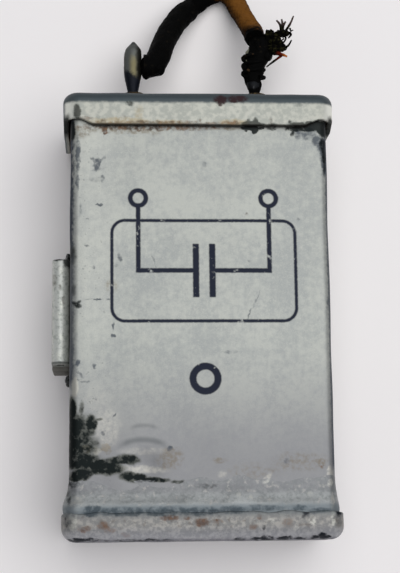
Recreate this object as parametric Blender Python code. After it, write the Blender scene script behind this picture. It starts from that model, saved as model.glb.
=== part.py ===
"""A sealed flat-can paper capacitor lying on its back, with two solder lugs and a short jumper lead.

The model is built on the can's own axis: X runs across the broad face, Y runs up the can towards
the lugs and Z points out of the broad face. One empty carries every piece and lifts the can until
the backs of its two caps lie on the ground.
"""

import math

import bmesh
import bpy
from mathutils import Vector

# Clearances
SEAT = 0.0001
FIT = 0.00015
SLIP = 0.0003

# Can body: a soldered tube of tin plate
BODY_WIDTH = 0.03175
BODY_DEPTH = 0.0159
BODY_SHEET = 0.0005
BODY_EDGE = 0.0011
CAN_HEIGHT = 0.0548
LAP_WIDTH = 0.0045
LAP_PROUD = 0.00035

# Drawn caps that slip over both ends of the body
CAP_SHEET = 0.0006
LID_SKIRT = 0.0043
LID_ROUND = 0.0013
LID_CORNER_LIFT = 0.0008
LID_CORNER_RUN = 0.0019
BASE_SKIRT = 0.0034
BASE_ROUND = 0.0017

# Solder drawn along the top edge of the bottom cap
FILLET_HEIGHT = 0.0036
FILLET_FOOT = 0.00085
FILLET_CREST = 0.00016
FILLET_STATIONS = (0.25, 0.55)

# Folded mounting hook on the left wall
HOOK_SHEET = 0.0007
HOOK_SLOT = 0.0008
HOOK_LENGTH = 0.0131
HOOK_CENTRE = 0.0006
HOOK_PLATE = 0.008
HOOK_LEG = 0.006
HOOK_FOLD_HEIGHT = 0.0031
HOOK_STOP = 0.0010
HOOK_STOP_DROP = 0.0016
HOOK_FILLET = 0.0011

# Terminals
TERMINAL_PITCH = 0.015875
BUSH_RADIUS = 0.0031
BUSH_FLANGE = 0.0010
BUSH_SLEEVE_RADIUS = 0.0019
WASHER_THICKNESS = 0.0008
RIVET_RADIUS = 0.0010
RIVET_BORE = 0.0006
RIVET_HEAD_RADIUS = 0.0015
RIVET_HEAD = 0.00045
LUG_SHEET = 0.0005
LUG_FOOT_RADIUS = 0.0022
LUG_NECK_WIDTH = 0.0012
LUG_WIDTH = 0.0020
LUG_NECK_TOP = 0.0019
LUG_WIDE_FROM = 0.0040
LUG_WIDE_TO = 0.0077
LUG_TIP = 0.0086
LUG_TIP_WIDTH = 0.0003
LUG_EYE_HEIGHT = 0.0056
LUG_EYE_RADIUS = 0.0004

# Sealed contents
LINER_WALL = 0.0004
PAD_THICKNESS = 0.0010
WINDING_FLAT = 0.00035
WRAP_WALL = 0.00025
CORE_WIDTH = 0.0180
CORE_THICKNESS = 0.0010
PITCH_DEPTH = 0.0030
PITCH_HEADROOM = 0.0014
TAB_SHEET = 0.0003
TAB_WIDTH = 0.0030
TAB_FOOT_RADIUS = 0.0022

# Jumper lead from lug to lug, and its bare ends
LEAD_DIAMETER = 0.0025
LEAD_CORE_DIAMETER = 0.0005
LEAD_STEP = 0.0008
WRAP_TURNS = 3
WRAP_PITCH = 0.00105
WRAP_POINTS = 24
WRAP_CLEARANCE = 0.00012
WRAP_RISE = 0.00095
WRAP_START = math.radians(60)
WRAP_ENTRY = 0.00045
LEFT_SOLDER_PROUD = 0.00018
LEFT_SOLDER_DEPTH = 0.0017
LEFT_SOLDER_TIP = 0.0004
RIGHT_SOLDER_PROUD = 0.00020
RIGHT_SOLDER_DEPTH = 0.0014
RIGHT_SOLDER_HEIGHT = 0.0010
SOLDER_CLEARANCE = 0.00006
SOLDER_SQUARENESS = 0.6

# Shares of the solder's full width and depth, from its lower end up to its tip or its top
LEFT_SOLDER_SHARES = (
    (1.0, 0.8),
    (1.0, 0.95),
    (1.02, 1.0),
    (1.0, 0.95),
    (0.98, 0.85),
    (0.68, 0.7),
    (0.38, 0.58),
    (0.14, 0.15),
)
RIGHT_SOLDER_SHARES = ((0.82, 0.75), (0.98, 1.0), (1.0, 0.8))

# The lead's centre line, chosen on the can's own axes
LEAD_ROUTE = [
    Vector(point)
    for point in (
        (-0.00662, 0.03408, -0.00172),
        (-0.00612, 0.03409, -0.00174),
        (-0.00549, 0.03428, -0.00180),
        (-0.00495, 0.03483, -0.00195),
        (-0.00460, 0.03557, -0.00225),
        (-0.00427, 0.03660, -0.00265),
        (-0.00384, 0.03788, -0.00330),
        (-0.00319, 0.03953, -0.00425),
        (-0.00233, 0.04124, -0.00525),
        (-0.00144, 0.04256, -0.00605),
        (-0.00043, 0.04371, -0.00670),
        (0.00063, 0.04476, -0.00715),
        (0.00168, 0.04572, -0.00738),
        (0.00285, 0.04650, -0.00748),
        (0.00412, 0.04680, -0.00748),
        (0.00528, 0.04630, -0.00735),
        (0.00609, 0.04510, -0.00690),
        (0.00664, 0.04366, -0.00610),
        (0.00716, 0.04228, -0.00520),
        (0.00763, 0.04089, -0.00425),
        (0.00801, 0.03958, -0.00315),
        (0.00818, 0.03860, -0.00220),
        (0.00820, 0.03808, -0.00176),
    )
]

# Loose cotton at the lead's right end: the tuft's centre and the tips of its strands
FRAY_CENTRE = Vector((0.01055, 0.03800, -0.00130))
FRAY_RADIUS = 0.0008
FRAY_TIPS = [
    Vector(point)
    for point in (
        (0.01330, 0.04140, -0.00260),
        (0.01150, 0.04060, -0.00140),
        (0.01290, 0.03790, -0.00200),
        (0.01200, 0.03540, -0.00080),
        (0.01120, 0.03990, 0.00060),
        (0.01230, 0.03900, -0.00010),
    )
]
FRAY_TIP_SCALE = 0.35

# Faces per rounded corner and per turned ring, and the angle past which an edge stays crisp
CORNER_STEPS = 5
EDGE_STEPS = 4
FOLD_STEPS = 10
ROUND_STEPS = 24
SOLDER_STEPS = 14
CRISP_ANGLE = math.radians(32)

# Places worked out from the sizes
HALF_WIDTH = BODY_WIDTH / 2
HALF_DEPTH = BODY_DEPTH / 2
CAP_GROWTH = SLIP + CAP_SHEET
CAP_HALF_WIDTH = HALF_WIDTH + CAP_GROWTH
CAP_HALF_DEPTH = HALF_DEPTH + CAP_GROWTH
CAP_CORNER = BODY_EDGE + CAP_GROWTH
TOP = CAN_HEIGHT / 2
LID_UNDERSIDE = TOP - CAP_SHEET
BODY_END = LID_UNDERSIDE - SLIP
BASE_RIM = -TOP + BASE_SKIRT
INNER_HALF_WIDTH = HALF_WIDTH - BODY_SHEET - FIT
INNER_HALF_DEPTH = HALF_DEPTH - BODY_SHEET - FIT
INNER_CORNER = BODY_EDGE - BODY_SHEET

BUSH_SEAT = TOP + SEAT
LUG_SEAT = BUSH_SEAT + BUSH_FLANGE + SEAT
RIVET_SEAT = LUG_SEAT + LUG_SHEET + SEAT
WASHER_SEAT = LID_UNDERSIDE - SEAT
TAB_SEAT = WASHER_SEAT - WASHER_THICKNESS - SEAT
CLINCH_SEAT = TAB_SEAT - TAB_SHEET - SEAT
HOLE_RADIUS = RIVET_RADIUS + FIT
BLADE_Z = -LUG_FOOT_RADIUS + LUG_SHEET / 2
TAB_STRIP_Z = -TAB_FOOT_RADIUS + TAB_SHEET / 2

PAD_FLOOR = -TOP + CAP_SHEET + SEAT
STACK_FLOOR = PAD_FLOOR + PAD_THICKNESS + SEAT
PITCH_FLOOR = CLINCH_SEAT - RIVET_HEAD - PITCH_HEADROOM - PITCH_DEPTH
TOP_PAD_FLOOR = PITCH_FLOOR - SEAT - PAD_THICKNESS
WINDING_TOP = TOP_PAD_FLOOR - FIT
WINDING_LENGTH = WINDING_TOP - STACK_FLOOR
WRAP_HALF_WIDTH = INNER_HALF_WIDTH - LINER_WALL - FIT
WRAP_HALF_DEPTH = INNER_HALF_DEPTH - LINER_WALL - FIT
ROLL_HALF_WIDTH = WRAP_HALF_WIDTH - WRAP_WALL - FIT
ROLL_HALF_DEPTH = WRAP_HALF_DEPTH - WRAP_WALL - FIT
WINDING_CURVE = ROLL_HALF_DEPTH - WINDING_FLAT

HOOK_REACH = SEAT + 2 * HOOK_SHEET + HOOK_SLOT
HOOK_TOP = HOOK_CENTRE + HOOK_LENGTH / 2
HOOK_FOOT = HOOK_CENTRE - HOOK_LENGTH / 2

SOLDER_TIP = LUG_SEAT + LUG_TIP + LEFT_SOLDER_TIP
LEAD_CORE_RADIUS = LEAD_CORE_DIAMETER / 2
LEFT_LUG_X = -TERMINAL_PITCH / 2
RIGHT_LUG_X = TERMINAL_PITCH / 2

# The footprint's middle, which the empty brings to the origin
FOOTPRINT_X = (CAP_HALF_WIDTH - HALF_WIDTH - HOOK_REACH) / 2
FOOTPRINT_Y = (SOLDER_TIP - TOP) / 2


def clear_scene():
    """Empties the scene of what it opened with."""
    for obj in list(bpy.data.objects):
        bpy.data.objects.remove(obj)


def finish(name, colour, roughness, metallic):
    """A plain material of one colour."""
    made = bpy.data.materials.new(name)
    made.use_nodes = True
    shader = made.node_tree.nodes["Principled BSDF"]
    shader.inputs["Base Color"].default_value = (*colour, 1)
    shader.inputs["Roughness"].default_value = roughness
    shader.inputs["Metallic"].default_value = metallic
    return made


def carrier():
    """The empty on the can's axis that every piece hangs on."""
    empty = bpy.data.objects.new("can_axis", None)
    bpy.context.scene.collection.objects.link(empty)
    empty.location = (-FOOTPRINT_X, -FOOTPRINT_Y, CAP_HALF_DEPTH)
    return empty


def place(name, data, material=None, location=(0, 0, 0)):
    """Puts a mesh or a curve in the scene, carried by the empty. With no material it is a cutter."""
    obj = bpy.data.objects.new(name, data)
    bpy.context.scene.collection.objects.link(obj)
    obj.parent = bpy.data.objects["can_axis"]
    obj.location = location
    if material:
        obj.data.materials.append(material)
    else:
        obj.hide_render = True
        obj.display_type = "WIRE"
    return obj


def combine(obj, other, operation):
    """A live Boolean of one piece with a helper."""
    modifier = obj.modifiers.new(other.name, "BOOLEAN")
    modifier.operation = operation
    modifier.object = other


def to_mesh(name, bm):
    """Closes a bmesh into a mesh that is smooth on its curves and crisp on its edges."""
    bmesh.ops.recalc_face_normals(bm, faces=bm.faces[:])
    mesh = bpy.data.meshes.new(name)
    bm.to_mesh(mesh)
    bm.free()
    mesh.shade_smooth()
    mesh.set_sharp_from_angle(angle=CRISP_ANGLE)
    return mesh


def rounded_ring(half_x, half_z, radius, y, run=0.0, lift=0.0):
    """A rounded rectangle square to the can's axis. Within run of its corners it can lift up the can."""
    points = []
    for quarter in range(4):
        start = quarter * math.pi / 2
        sign_x = 1 if quarter in (0, 3) else -1
        sign_z = 1 if quarter in (0, 1) else -1
        centre = Vector((sign_x * (half_x - radius), y, sign_z * (half_z - radius)))
        for step in range(CORNER_STEPS + 1):
            angle = start + step / CORNER_STEPS * math.pi / 2
            outward = Vector((math.cos(angle), 0, math.sin(angle)))
            along = Vector((-math.sin(angle), 0, math.cos(angle)))
            point = centre + radius * outward
            if run and step == 0:
                points.append(point - run * along)
            points.append(point + Vector((0, lift, 0)))
            if run and step == CORNER_STEPS:
                points.append(point + run * along)
    return points


def ring_stack(name, rings, closed=False):
    """A skin drawn from ring to ring. It is capped at both ends, or closed from last to first."""
    bm = bmesh.new()
    ring = [bm.verts.new(point) for point in rings[0]]
    edges = [bm.edges.new((ring[i - 1], ring[i])) for i in range(len(ring))]
    first = edges
    if not closed:
        bm.faces.new(ring)
    for points in rings[1:]:
        made = bmesh.ops.extrude_edge_only(bm, edges=edges)["geom"]
        fresh = {item for item in made if isinstance(item, bmesh.types.BMVert)}
        follow = []
        for vert in ring:
            ends = [edge.other_vert(vert) for edge in vert.link_edges]
            follow.append(next(end for end in ends if end in fresh))
        ring = follow
        for vert, point in zip(ring, points):
            vert.co = point
        edges = [bm.edges.get((ring[i - 1], ring[i])) for i in range(len(ring))]
    if closed:
        bmesh.ops.bridge_loops(bm, edges=first + edges)
    else:
        bm.faces.new(ring)
    return to_mesh(name, bm)


def prism(name, outline, travel):
    """A flat outline pushed straight along travel."""
    bm = bmesh.new()
    face = bm.faces.new([bm.verts.new(point) for point in outline])
    made = bmesh.ops.extrude_face_region(bm, geom=[face])["geom"]
    moved = [item for item in made if isinstance(item, bmesh.types.BMVert)]
    bmesh.ops.translate(bm, verts=moved, vec=travel)
    return to_mesh(name, bm)


def block(name, low, high):
    """A box between two corners."""
    outline = [(low[0], low[1], low[2]), (high[0], low[1], low[2])]
    outline += [(high[0], high[1], low[2]), (low[0], high[1], low[2])]
    return prism(name, outline, (0, 0, high[2] - low[2]))


def turned(name, profile):
    """A ring turned about the Y axis from a closed outline of radius and height."""
    bm = bmesh.new()
    verts = [bm.verts.new((radius, height, 0)) for radius, height in profile]
    edges = [bm.edges.new((verts[i - 1], verts[i])) for i in range(len(verts))]
    bmesh.ops.spin(
        bm,
        geom=verts + edges,
        cent=(0, 0, 0),
        axis=(0, 1, 0),
        angle=2 * math.pi,
        steps=ROUND_STEPS,
        use_merge=True,
    )
    return to_mesh(name, bm)


def washer(name, outer, bore, thickness):
    """A flat ring that rises from height zero."""
    return turned(name, [(bore, 0), (outer, 0), (outer, thickness), (bore, thickness)])


def rod(name, radius, length):
    """A round bar along Z, centred on the origin."""
    bm = bmesh.new()
    bmesh.ops.create_cone(
        bm, cap_ends=True, segments=ROUND_STEPS, radius1=radius, radius2=radius, depth=length
    )
    return to_mesh(name, bm)


def tube(name, points, diameter, resolution):
    """A round cord or wire along a list of points."""
    curve = bpy.data.curves.new(name, "CURVE")
    curve.dimensions = "3D"
    curve.bevel_depth = diameter / 2
    curve.bevel_resolution = resolution
    curve.use_fill_caps = True
    spline = curve.splines.new("POLY")
    spline.points.add(len(points) - 1)
    for item, point in zip(spline.points, points):
        item.co = (*point, 1)
    return curve


def smooth_route(points, step):
    """Points about a step apart on a smooth curve through the route's own points."""
    ends = [2 * points[0] - points[1], *points, 2 * points[-1] - points[-2]]
    sampled = []
    for before, here, there, after in zip(ends, ends[1:], ends[2:], ends[3:]):
        pieces = max(1, round((there - here).length / step))
        for piece in range(pieces):
            t = piece / pieces
            line = 2 * here + (there - before) * t
            bend = (2 * before - 5 * here + 4 * there - after) * t**2
            turn = (3 * here - before - 3 * there + after) * t**3
            sampled.append((line + bend + turn) / 2)
    return sampled + [points[-1]]


def body_ring(outset, y):
    """The body's cross-section grown outward by outset."""
    return rounded_ring(HALF_WIDTH + outset, HALF_DEPTH + outset, BODY_EDGE + outset, y)


def make_body(material):
    """The open tube, with its soldered lap standing a little proud down the middle of the back."""
    rings = [body_ring(0, -BODY_END), body_ring(0, BODY_END)]
    rings += [body_ring(-BODY_SHEET, BODY_END), body_ring(-BODY_SHEET, -BODY_END)]
    body = place("can_body", ring_stack("can_body", rings, closed=True), material)
    low = BASE_RIM + FILLET_HEIGHT + 2 * SLIP
    high = TOP - LID_SKIRT - SLIP
    back = -HALF_DEPTH
    outline = [(-LAP_WIDTH / 2, low, back + BODY_SHEET / 2), (-LAP_WIDTH / 2, low, back)]
    outline += [(-LAP_WIDTH / 2 + LAP_PROUD, low, back - LAP_PROUD)]
    outline += [(LAP_WIDTH / 2, low, back - LAP_PROUD), (LAP_WIDTH / 2, low, back + BODY_SHEET / 2)]
    lap = place("body_lap", prism("body_lap", outline, (0, high - low, 0)))
    combine(body, lap, "UNION")


def edge_profile(radius):
    """Inset and drop of points round a quarter turn, from a flat face to its skirt."""
    angles = [step / EDGE_STEPS * math.pi / 2 for step in range(EDGE_STEPS + 1)]
    return [(radius * (1 - math.sin(a)), radius * (1 - math.cos(a))) for a in angles]


def cap_ring(inset, y, lift=0.0):
    """A cap's outline drawn in by inset, with points where the skirt lifts to its corners."""
    return rounded_ring(
        CAP_HALF_WIDTH - inset,
        CAP_HALF_DEPTH - inset,
        max(CAP_CORNER - inset, SEAT),
        y,
        LID_CORNER_RUN,
        lift,
    )


def make_lid(material):
    """The drawn top cap. Its skirt is a little shallower at the corners, and two bushes pass through it."""
    edge = TOP - LID_SKIRT
    rings = [cap_ring(inset, TOP - drop) for inset, drop in edge_profile(LID_ROUND)]
    rings += [cap_ring(0, edge, LID_CORNER_LIFT), cap_ring(CAP_SHEET, edge, LID_CORNER_LIFT)]
    rings += [cap_ring(CAP_SHEET, LID_UNDERSIDE)]
    lid = place("top_lid", ring_stack("top_lid", rings), material)
    for x in (LEFT_LUG_X, RIGHT_LUG_X):
        drill = place("lid_hole", rod("lid_hole", BUSH_SLEEVE_RADIUS + FIT, LID_SKIRT), None, (x, TOP, 0))
        drill.rotation_euler = (math.pi / 2, 0, 0)
        combine(lid, drill, "DIFFERENCE")


def make_base(material):
    """The drawn bottom cap."""
    rings = [cap_ring(inset, drop - TOP) for inset, drop in edge_profile(BASE_ROUND)]
    rings += [cap_ring(inset, BASE_RIM) for inset in (0, CAP_SHEET)]
    rings += [cap_ring(CAP_SHEET, -TOP + CAP_SHEET)]
    place("bottom_cap", ring_stack("bottom_cap", rings), material)


def make_fillet(material):
    """The hollow-faced solder ring that climbs the body from the bottom cap's rim."""
    foot = BASE_RIM + SLIP
    crest = foot + FILLET_HEIGHT
    rings = [body_ring(SEAT, foot), body_ring(FILLET_FOOT, foot)]
    for share in FILLET_STATIONS:
        spread = FILLET_CREST + (FILLET_FOOT - FILLET_CREST) * (1 - share) ** 2
        rings.append(body_ring(spread, foot + share * FILLET_HEIGHT))
    rings += [body_ring(FILLET_CREST, crest), body_ring(SEAT, crest)]
    place("bottom_solder_fillet", ring_stack("bottom_solder_fillet", rings, closed=True), material)


def make_hook(metal, solder):
    """A plate on the left wall, folded over at the front into an open slot with a stop at its lower end."""
    wall = -HALF_WIDTH - SEAT
    centre_x = wall - HOOK_SHEET - HOOK_SLOT / 2
    outline = [(wall, HOOK_FOOT, HOOK_FOLD_HEIGHT - HOOK_PLATE)]
    for step in range(FOLD_STEPS + 1):
        angle = step / FOLD_STEPS * math.pi
        radius = HOOK_SHEET + HOOK_SLOT / 2
        outline.append(
            (centre_x + radius * math.cos(angle), HOOK_FOOT, HOOK_FOLD_HEIGHT + radius * math.sin(angle))
        )
    outline += [(-HALF_WIDTH - HOOK_REACH, HOOK_FOOT, HOOK_FOLD_HEIGHT - HOOK_LEG)]
    outline += [(-HALF_WIDTH - HOOK_REACH + HOOK_SHEET, HOOK_FOOT, HOOK_FOLD_HEIGHT - HOOK_LEG)]
    for step in range(FOLD_STEPS + 1):
        angle = math.pi - step / FOLD_STEPS * math.pi
        radius = HOOK_SLOT / 2
        outline.append(
            (centre_x + radius * math.cos(angle), HOOK_FOOT, HOOK_FOLD_HEIGHT + radius * math.sin(angle))
        )
    outline += [(wall - HOOK_SHEET, HOOK_FOOT, HOOK_FOLD_HEIGHT - HOOK_PLATE)]
    hook = place("mounting_hook", prism("mounting_hook", outline, (0, HOOK_LENGTH, 0)), metal)
    low = (-HALF_WIDTH - HOOK_REACH, HOOK_FOOT - HOOK_STOP, HOOK_FOLD_HEIGHT - HOOK_LEG)
    high = (wall, HOOK_FOOT + HOOK_SHEET, HOOK_FOLD_HEIGHT + HOOK_SHEET - HOOK_STOP_DROP)
    stop = place("hook_stop", block("hook_stop", low, high))
    combine(hook, stop, "UNION")
    for name, root, rise in (
        ("hook_solder_upper", HOOK_TOP + SEAT, HOOK_FILLET),
        ("hook_solder_lower", HOOK_FOOT - HOOK_STOP - SEAT, -HOOK_FILLET),
    ):
        back = HOOK_FOLD_HEIGHT - HOOK_LEG
        corners = [(wall + SEAT / 2, root, back), (wall - HOOK_SHEET, root, back)]
        corners += [(wall - HOOK_SHEET / 2, root + rise / 3, back), (wall + SEAT / 2, root + rise, back)]
        place(name, prism(name, corners, (0, 0, HOOK_LEG)), solder)


def blade_outline(grow, tip_grow, z):
    """The lug's leaf-shaped blade in its own place, grown by a clearance."""
    half = [
        (LUG_NECK_WIDTH / 2 + grow, 0),
        (LUG_NECK_WIDTH / 2 + grow, LUG_NECK_TOP),
        (LUG_WIDTH / 2 + grow, LUG_WIDE_FROM),
        (LUG_WIDTH / 2 + grow, LUG_WIDE_TO),
        (LUG_TIP_WIDTH / 2 + grow, LUG_TIP + tip_grow),
    ]
    right = [(x, y, z) for x, y in half]
    left = [(-x, y, z) for x, y in reversed(half)]
    return right + left


def bent_tag(name, foot, strip, material, location):
    """A ring under a rivet with a strip bent square from its back edge."""
    tag = place(name, foot, material, location)
    strip_helper = place(name + "_strip", strip, None, location)
    combine(tag, strip_helper, "UNION")
    return tag


def make_terminal(side, x, metals, fibre):
    """One terminal: bush, lug, rivet and washer, clamped through the lid, and the foil's tab under them."""
    sleeve = CAP_SHEET + SEAT
    bush = [(HOLE_RADIUS, -sleeve), (BUSH_SLEEVE_RADIUS, -sleeve), (BUSH_SLEEVE_RADIUS, 0)]
    bush += [(BUSH_RADIUS, 0), (BUSH_RADIUS, BUSH_FLANGE), (HOLE_RADIUS, BUSH_FLANGE)]
    place(side + "_terminal_bush", turned("bush", bush), fibre, (x, BUSH_SEAT, 0))
    ring = washer("inner_washer", BUSH_RADIUS, HOLE_RADIUS, WASHER_THICKNESS)
    place(side + "_inner_washer", ring, fibre, (x, WASHER_SEAT - WASHER_THICKNESS, 0))
    clinch = CLINCH_SEAT - RIVET_SEAT
    rivet = [(RIVET_BORE, clinch - RIVET_HEAD), (RIVET_HEAD_RADIUS, clinch - RIVET_HEAD)]
    rivet += [(RIVET_HEAD_RADIUS, clinch), (RIVET_RADIUS, clinch), (RIVET_RADIUS, 0)]
    rivet += [(RIVET_HEAD_RADIUS, 0), (RIVET_HEAD_RADIUS, RIVET_HEAD), (RIVET_BORE, RIVET_HEAD)]
    place(side + "_terminal_rivet", turned("rivet", rivet), metals["brass"], (x, RIVET_SEAT, 0))

    foot = washer("lug_foot", LUG_FOOT_RADIUS, HOLE_RADIUS, LUG_SHEET)
    blade = prism("lug_blade", blade_outline(0, 0, BLADE_Z - LUG_SHEET / 2), (0, 0, LUG_SHEET))
    lug = bent_tag(side + "_terminal_lug", foot, blade, metals["lug"], (x, LUG_SEAT, 0))
    eye = place("lug_eye", rod("lug_eye", LUG_EYE_RADIUS, 4 * LUG_SHEET), None)
    eye.location = (x, LUG_SEAT + LUG_EYE_HEIGHT, BLADE_Z)
    combine(lug, eye, "DIFFERENCE")

    tab_foot = washer("tab_foot", TAB_FOOT_RADIUS, HOLE_RADIUS, TAB_SHEET)
    drop = TAB_SEAT - WINDING_TOP - SEAT
    low = (-TAB_WIDTH / 2, TAB_SHEET - drop, TAB_STRIP_Z - TAB_SHEET / 2)
    high = (TAB_WIDTH / 2, TAB_SHEET, TAB_STRIP_Z + TAB_SHEET / 2)
    strip = block("tab_strip", low, high)
    bent_tag(side + "_foil_tab", tab_foot, strip, metals["foil"], (x, TAB_SEAT - TAB_SHEET, 0))


def slot_for_tabs(plate, floor, depth):
    """Cuts both foil tabs' slots through a plate."""
    for x in (LEFT_LUG_X, RIGHT_LUG_X):
        reach = Vector((TAB_WIDTH / 2 + FIT, depth, TAB_SHEET / 2 + FIT))
        middle = Vector((x, floor + depth / 2, TAB_STRIP_Z))
        slot = place("tab_slot", block("tab_slot", middle - reach, middle + reach))
        combine(plate, slot, "DIFFERENCE")


def make_plate(name, floor, thickness, material):
    """A plate that fills the can's inside from wall to wall."""
    rings = [
        rounded_ring(INNER_HALF_WIDTH, INNER_HALF_DEPTH, INNER_CORNER, y)
        for y in (floor, floor + thickness)
    ]
    return place(name, ring_stack(name, rings), material)


def make_sleeve(name, half_x, half_z, radius, wall, material):
    """An open tube of paper as tall as the winding."""
    inner = max(radius - wall, SEAT)
    rings = [rounded_ring(half_x, half_z, radius, y) for y in (STACK_FLOOR, WINDING_TOP)]
    rings += [
        rounded_ring(half_x - wall, half_z - wall, inner, y) for y in (WINDING_TOP, STACK_FLOOR)
    ]
    return place(name, ring_stack(name, rings, closed=True), material)


def make_contents(papers, foil, pitch):
    """The flattened paper and foil roll on its card core, its wrap and liner, two pads and the seal."""
    make_plate("bottom_pad", PAD_FLOOR, PAD_THICKNESS, papers["board"])
    make_sleeve(
        "can_liner", INNER_HALF_WIDTH, INNER_HALF_DEPTH, INNER_CORNER, LINER_WALL, papers["kraft"]
    )
    curve = WINDING_CURVE + WRAP_WALL + FIT
    make_sleeve("winding_wrap", WRAP_HALF_WIDTH, WRAP_HALF_DEPTH, curve, WRAP_WALL, papers["kraft"])
    rings = [
        rounded_ring(ROLL_HALF_WIDTH, ROLL_HALF_DEPTH, WINDING_CURVE, y)
        for y in (STACK_FLOOR, WINDING_TOP)
    ]
    roll = place("foil_winding", ring_stack("foil_winding", rings), foil)
    reach = Vector((CORE_WIDTH / 2, 0, CORE_THICKNESS / 2))
    room = reach + Vector((FIT, WINDING_LENGTH, FIT))
    middle = Vector((0, STACK_FLOOR + WINDING_LENGTH / 2, 0))
    combine(roll, place("core_room", block("core_room", middle - room, middle + room)), "DIFFERENCE")
    reach.y = WINDING_LENGTH / 2
    place("winding_core", block("winding_core", middle - reach, middle + reach), papers["board"])
    top_pad = make_plate("top_pad", TOP_PAD_FLOOR, PAD_THICKNESS, papers["board"])
    slot_for_tabs(top_pad, TOP_PAD_FLOOR, PAD_THICKNESS)
    seal = make_plate("pitch_seal", PITCH_FLOOR, PITCH_DEPTH, pitch)
    slot_for_tabs(seal, PITCH_FLOOR, PITCH_DEPTH)


def solder_ring(half_x, half_z, y):
    """A full oval square to the can's axis, centred on the lug's blade."""
    points = []
    for step in range(SOLDER_STEPS):
        angle = (step + 0.5) / SOLDER_STEPS * 2 * math.pi
        across = math.copysign(abs(math.cos(angle)) ** SOLDER_SQUARENESS, math.cos(angle))
        out = math.copysign(abs(math.sin(angle)) ** SOLDER_SQUARENESS, math.sin(angle))
        points.append(Vector((half_x * across, y, BLADE_Z + half_z * out)))
    return points


def make_coat(name, x, size, heights, shares, material):
    """Solder round a lug's blade, whose width and depth at each height are shares of its full size."""
    at = (x, LUG_SEAT, 0)
    rings = [
        solder_ring(size.x / 2 * wide, size.y / 2 * deep, y) for y, (wide, deep) in zip(heights, shares)
    ]
    coat = place(name, ring_stack(name, rings), material, at)
    back = BLADE_Z - LUG_SHEET / 2 - SOLDER_CLEARANCE
    outline = blade_outline(SOLDER_CLEARANCE, SOLDER_CLEARANCE, back)
    room = prism(name + "_room", outline, (0, 0, LUG_SHEET + 2 * SOLDER_CLEARANCE))
    combine(coat, place(name + "_room", room, None, at), "DIFFERENCE")


def make_joints(solder):
    """Solder that coats the left lug to a point, and a low collar of it on the right lug."""
    heights = [LUG_WIDE_FROM - LUG_SHEET / 2, LUG_WIDE_FROM + LUG_SHEET / 2]
    heights += [(LUG_WIDE_FROM + LUG_WIDE_TO) / 2, LUG_WIDE_TO - LUG_SHEET, LUG_WIDE_TO]
    heights += [(LUG_WIDE_TO + LUG_TIP) / 2, LUG_TIP, LUG_TIP + LEFT_SOLDER_TIP]
    size = Vector((LUG_WIDTH + 2 * LEFT_SOLDER_PROUD, LEFT_SOLDER_DEPTH))
    make_coat("left_solder_joint", LEFT_LUG_X, size, heights, LEFT_SOLDER_SHARES, solder)
    top = LUG_WIDE_TO - WRAP_PITCH * (WRAP_TURNS + 0.5) - LEAD_CORE_RADIUS - FIT
    heights = [top - RIGHT_SOLDER_HEIGHT, top - RIGHT_SOLDER_HEIGHT / 2, top]
    size = Vector((LUG_WIDTH + 2 * RIGHT_SOLDER_PROUD, RIGHT_SOLDER_DEPTH))
    make_coat("right_solder_joint", RIGHT_LUG_X, size, heights, RIGHT_SOLDER_SHARES, solder)


def wrap_points():
    """The bare end's path: off the lead's end, past the lug's tip and round the blade, turn by turn."""
    half_x = LUG_WIDTH / 2 + WRAP_CLEARANCE + LEAD_CORE_RADIUS
    top = LUG_SEAT + LUG_WIDE_TO - WRAP_PITCH / 2
    turns = []
    for step in range(WRAP_TURNS * WRAP_POINTS + 1):
        turn = step / WRAP_POINTS
        angle = WRAP_START + 2 * math.pi * turn
        across = half_x * math.cos(angle)
        out = WRAP_RISE * math.sin(angle)
        turns.append(Vector((RIGHT_LUG_X + across, top - WRAP_PITCH * turn, BLADE_Z + out)))
    leaving = (LEAD_ROUTE[-1] - LEAD_ROUTE[-2]).normalized()
    first = LEAD_ROUTE[-1] + SEAT * leaving
    over = Vector((RIGHT_LUG_X + WRAP_ENTRY, LUG_SEAT + LUG_TIP, BLADE_Z + WRAP_RISE))
    down = turns[0] + Vector((SEAT, WRAP_ENTRY, SEAT))
    return smooth_route([first, over, down], LEAD_CORE_RADIUS)[:-1] + [down] + turns


def least_gap(points, diameter):
    """The least clear space between stretches of a wire that lie more than half a turn apart."""
    apart = WRAP_POINTS // 2
    pairs = ((a, b) for i, a in enumerate(points) for b in points[i + apart :])
    return min((a - b).length for a, b in pairs) - diameter


def make_jumper(cotton, copper):
    """The covered lead, and its bare end wound round the right lug."""
    lead = smooth_route(LEAD_ROUTE, LEAD_STEP)
    place("jumper_lead", tube("jumper_lead", lead, LEAD_DIAMETER, 2), cotton)
    length = sum((b - a).length for a, b in zip(lead, lead[1:]))
    print("lead:", len(lead), "points,", round(length * 1000, 2), "mm long")
    wire = wrap_points()
    print("least gap between bare turns:", round(least_gap(wire, LEAD_CORE_DIAMETER) * 1000, 3), "mm")
    place("right_lead_wrap", tube("right_lead_wrap", wire, LEAD_CORE_DIAMETER, 1), copper)


def make_fray(cotton):
    """The tuft of loose cotton: a small lump with a few strands drawn out of it."""
    bm = bmesh.new()
    bmesh.ops.create_icosphere(bm, subdivisions=2, radius=FRAY_RADIUS)
    bmesh.ops.translate(bm, verts=bm.verts[:], vec=FRAY_CENTRE)
    bm.normal_update()
    skin = bm.faces[:]
    for tip in FRAY_TIPS:
        face = max(skin, key=lambda f: f.normal.dot((tip - FRAY_CENTRE).normalized()))
        skin.remove(face)
        end = bmesh.ops.extrude_discrete_faces(bm, faces=[face])["faces"][0]
        middle = end.calc_center_median()
        for vert in end.verts:
            vert.co = tip + (vert.co - middle) * FRAY_TIP_SCALE
    place("frayed_braid", to_mesh("frayed_braid", bm), cotton)


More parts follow.
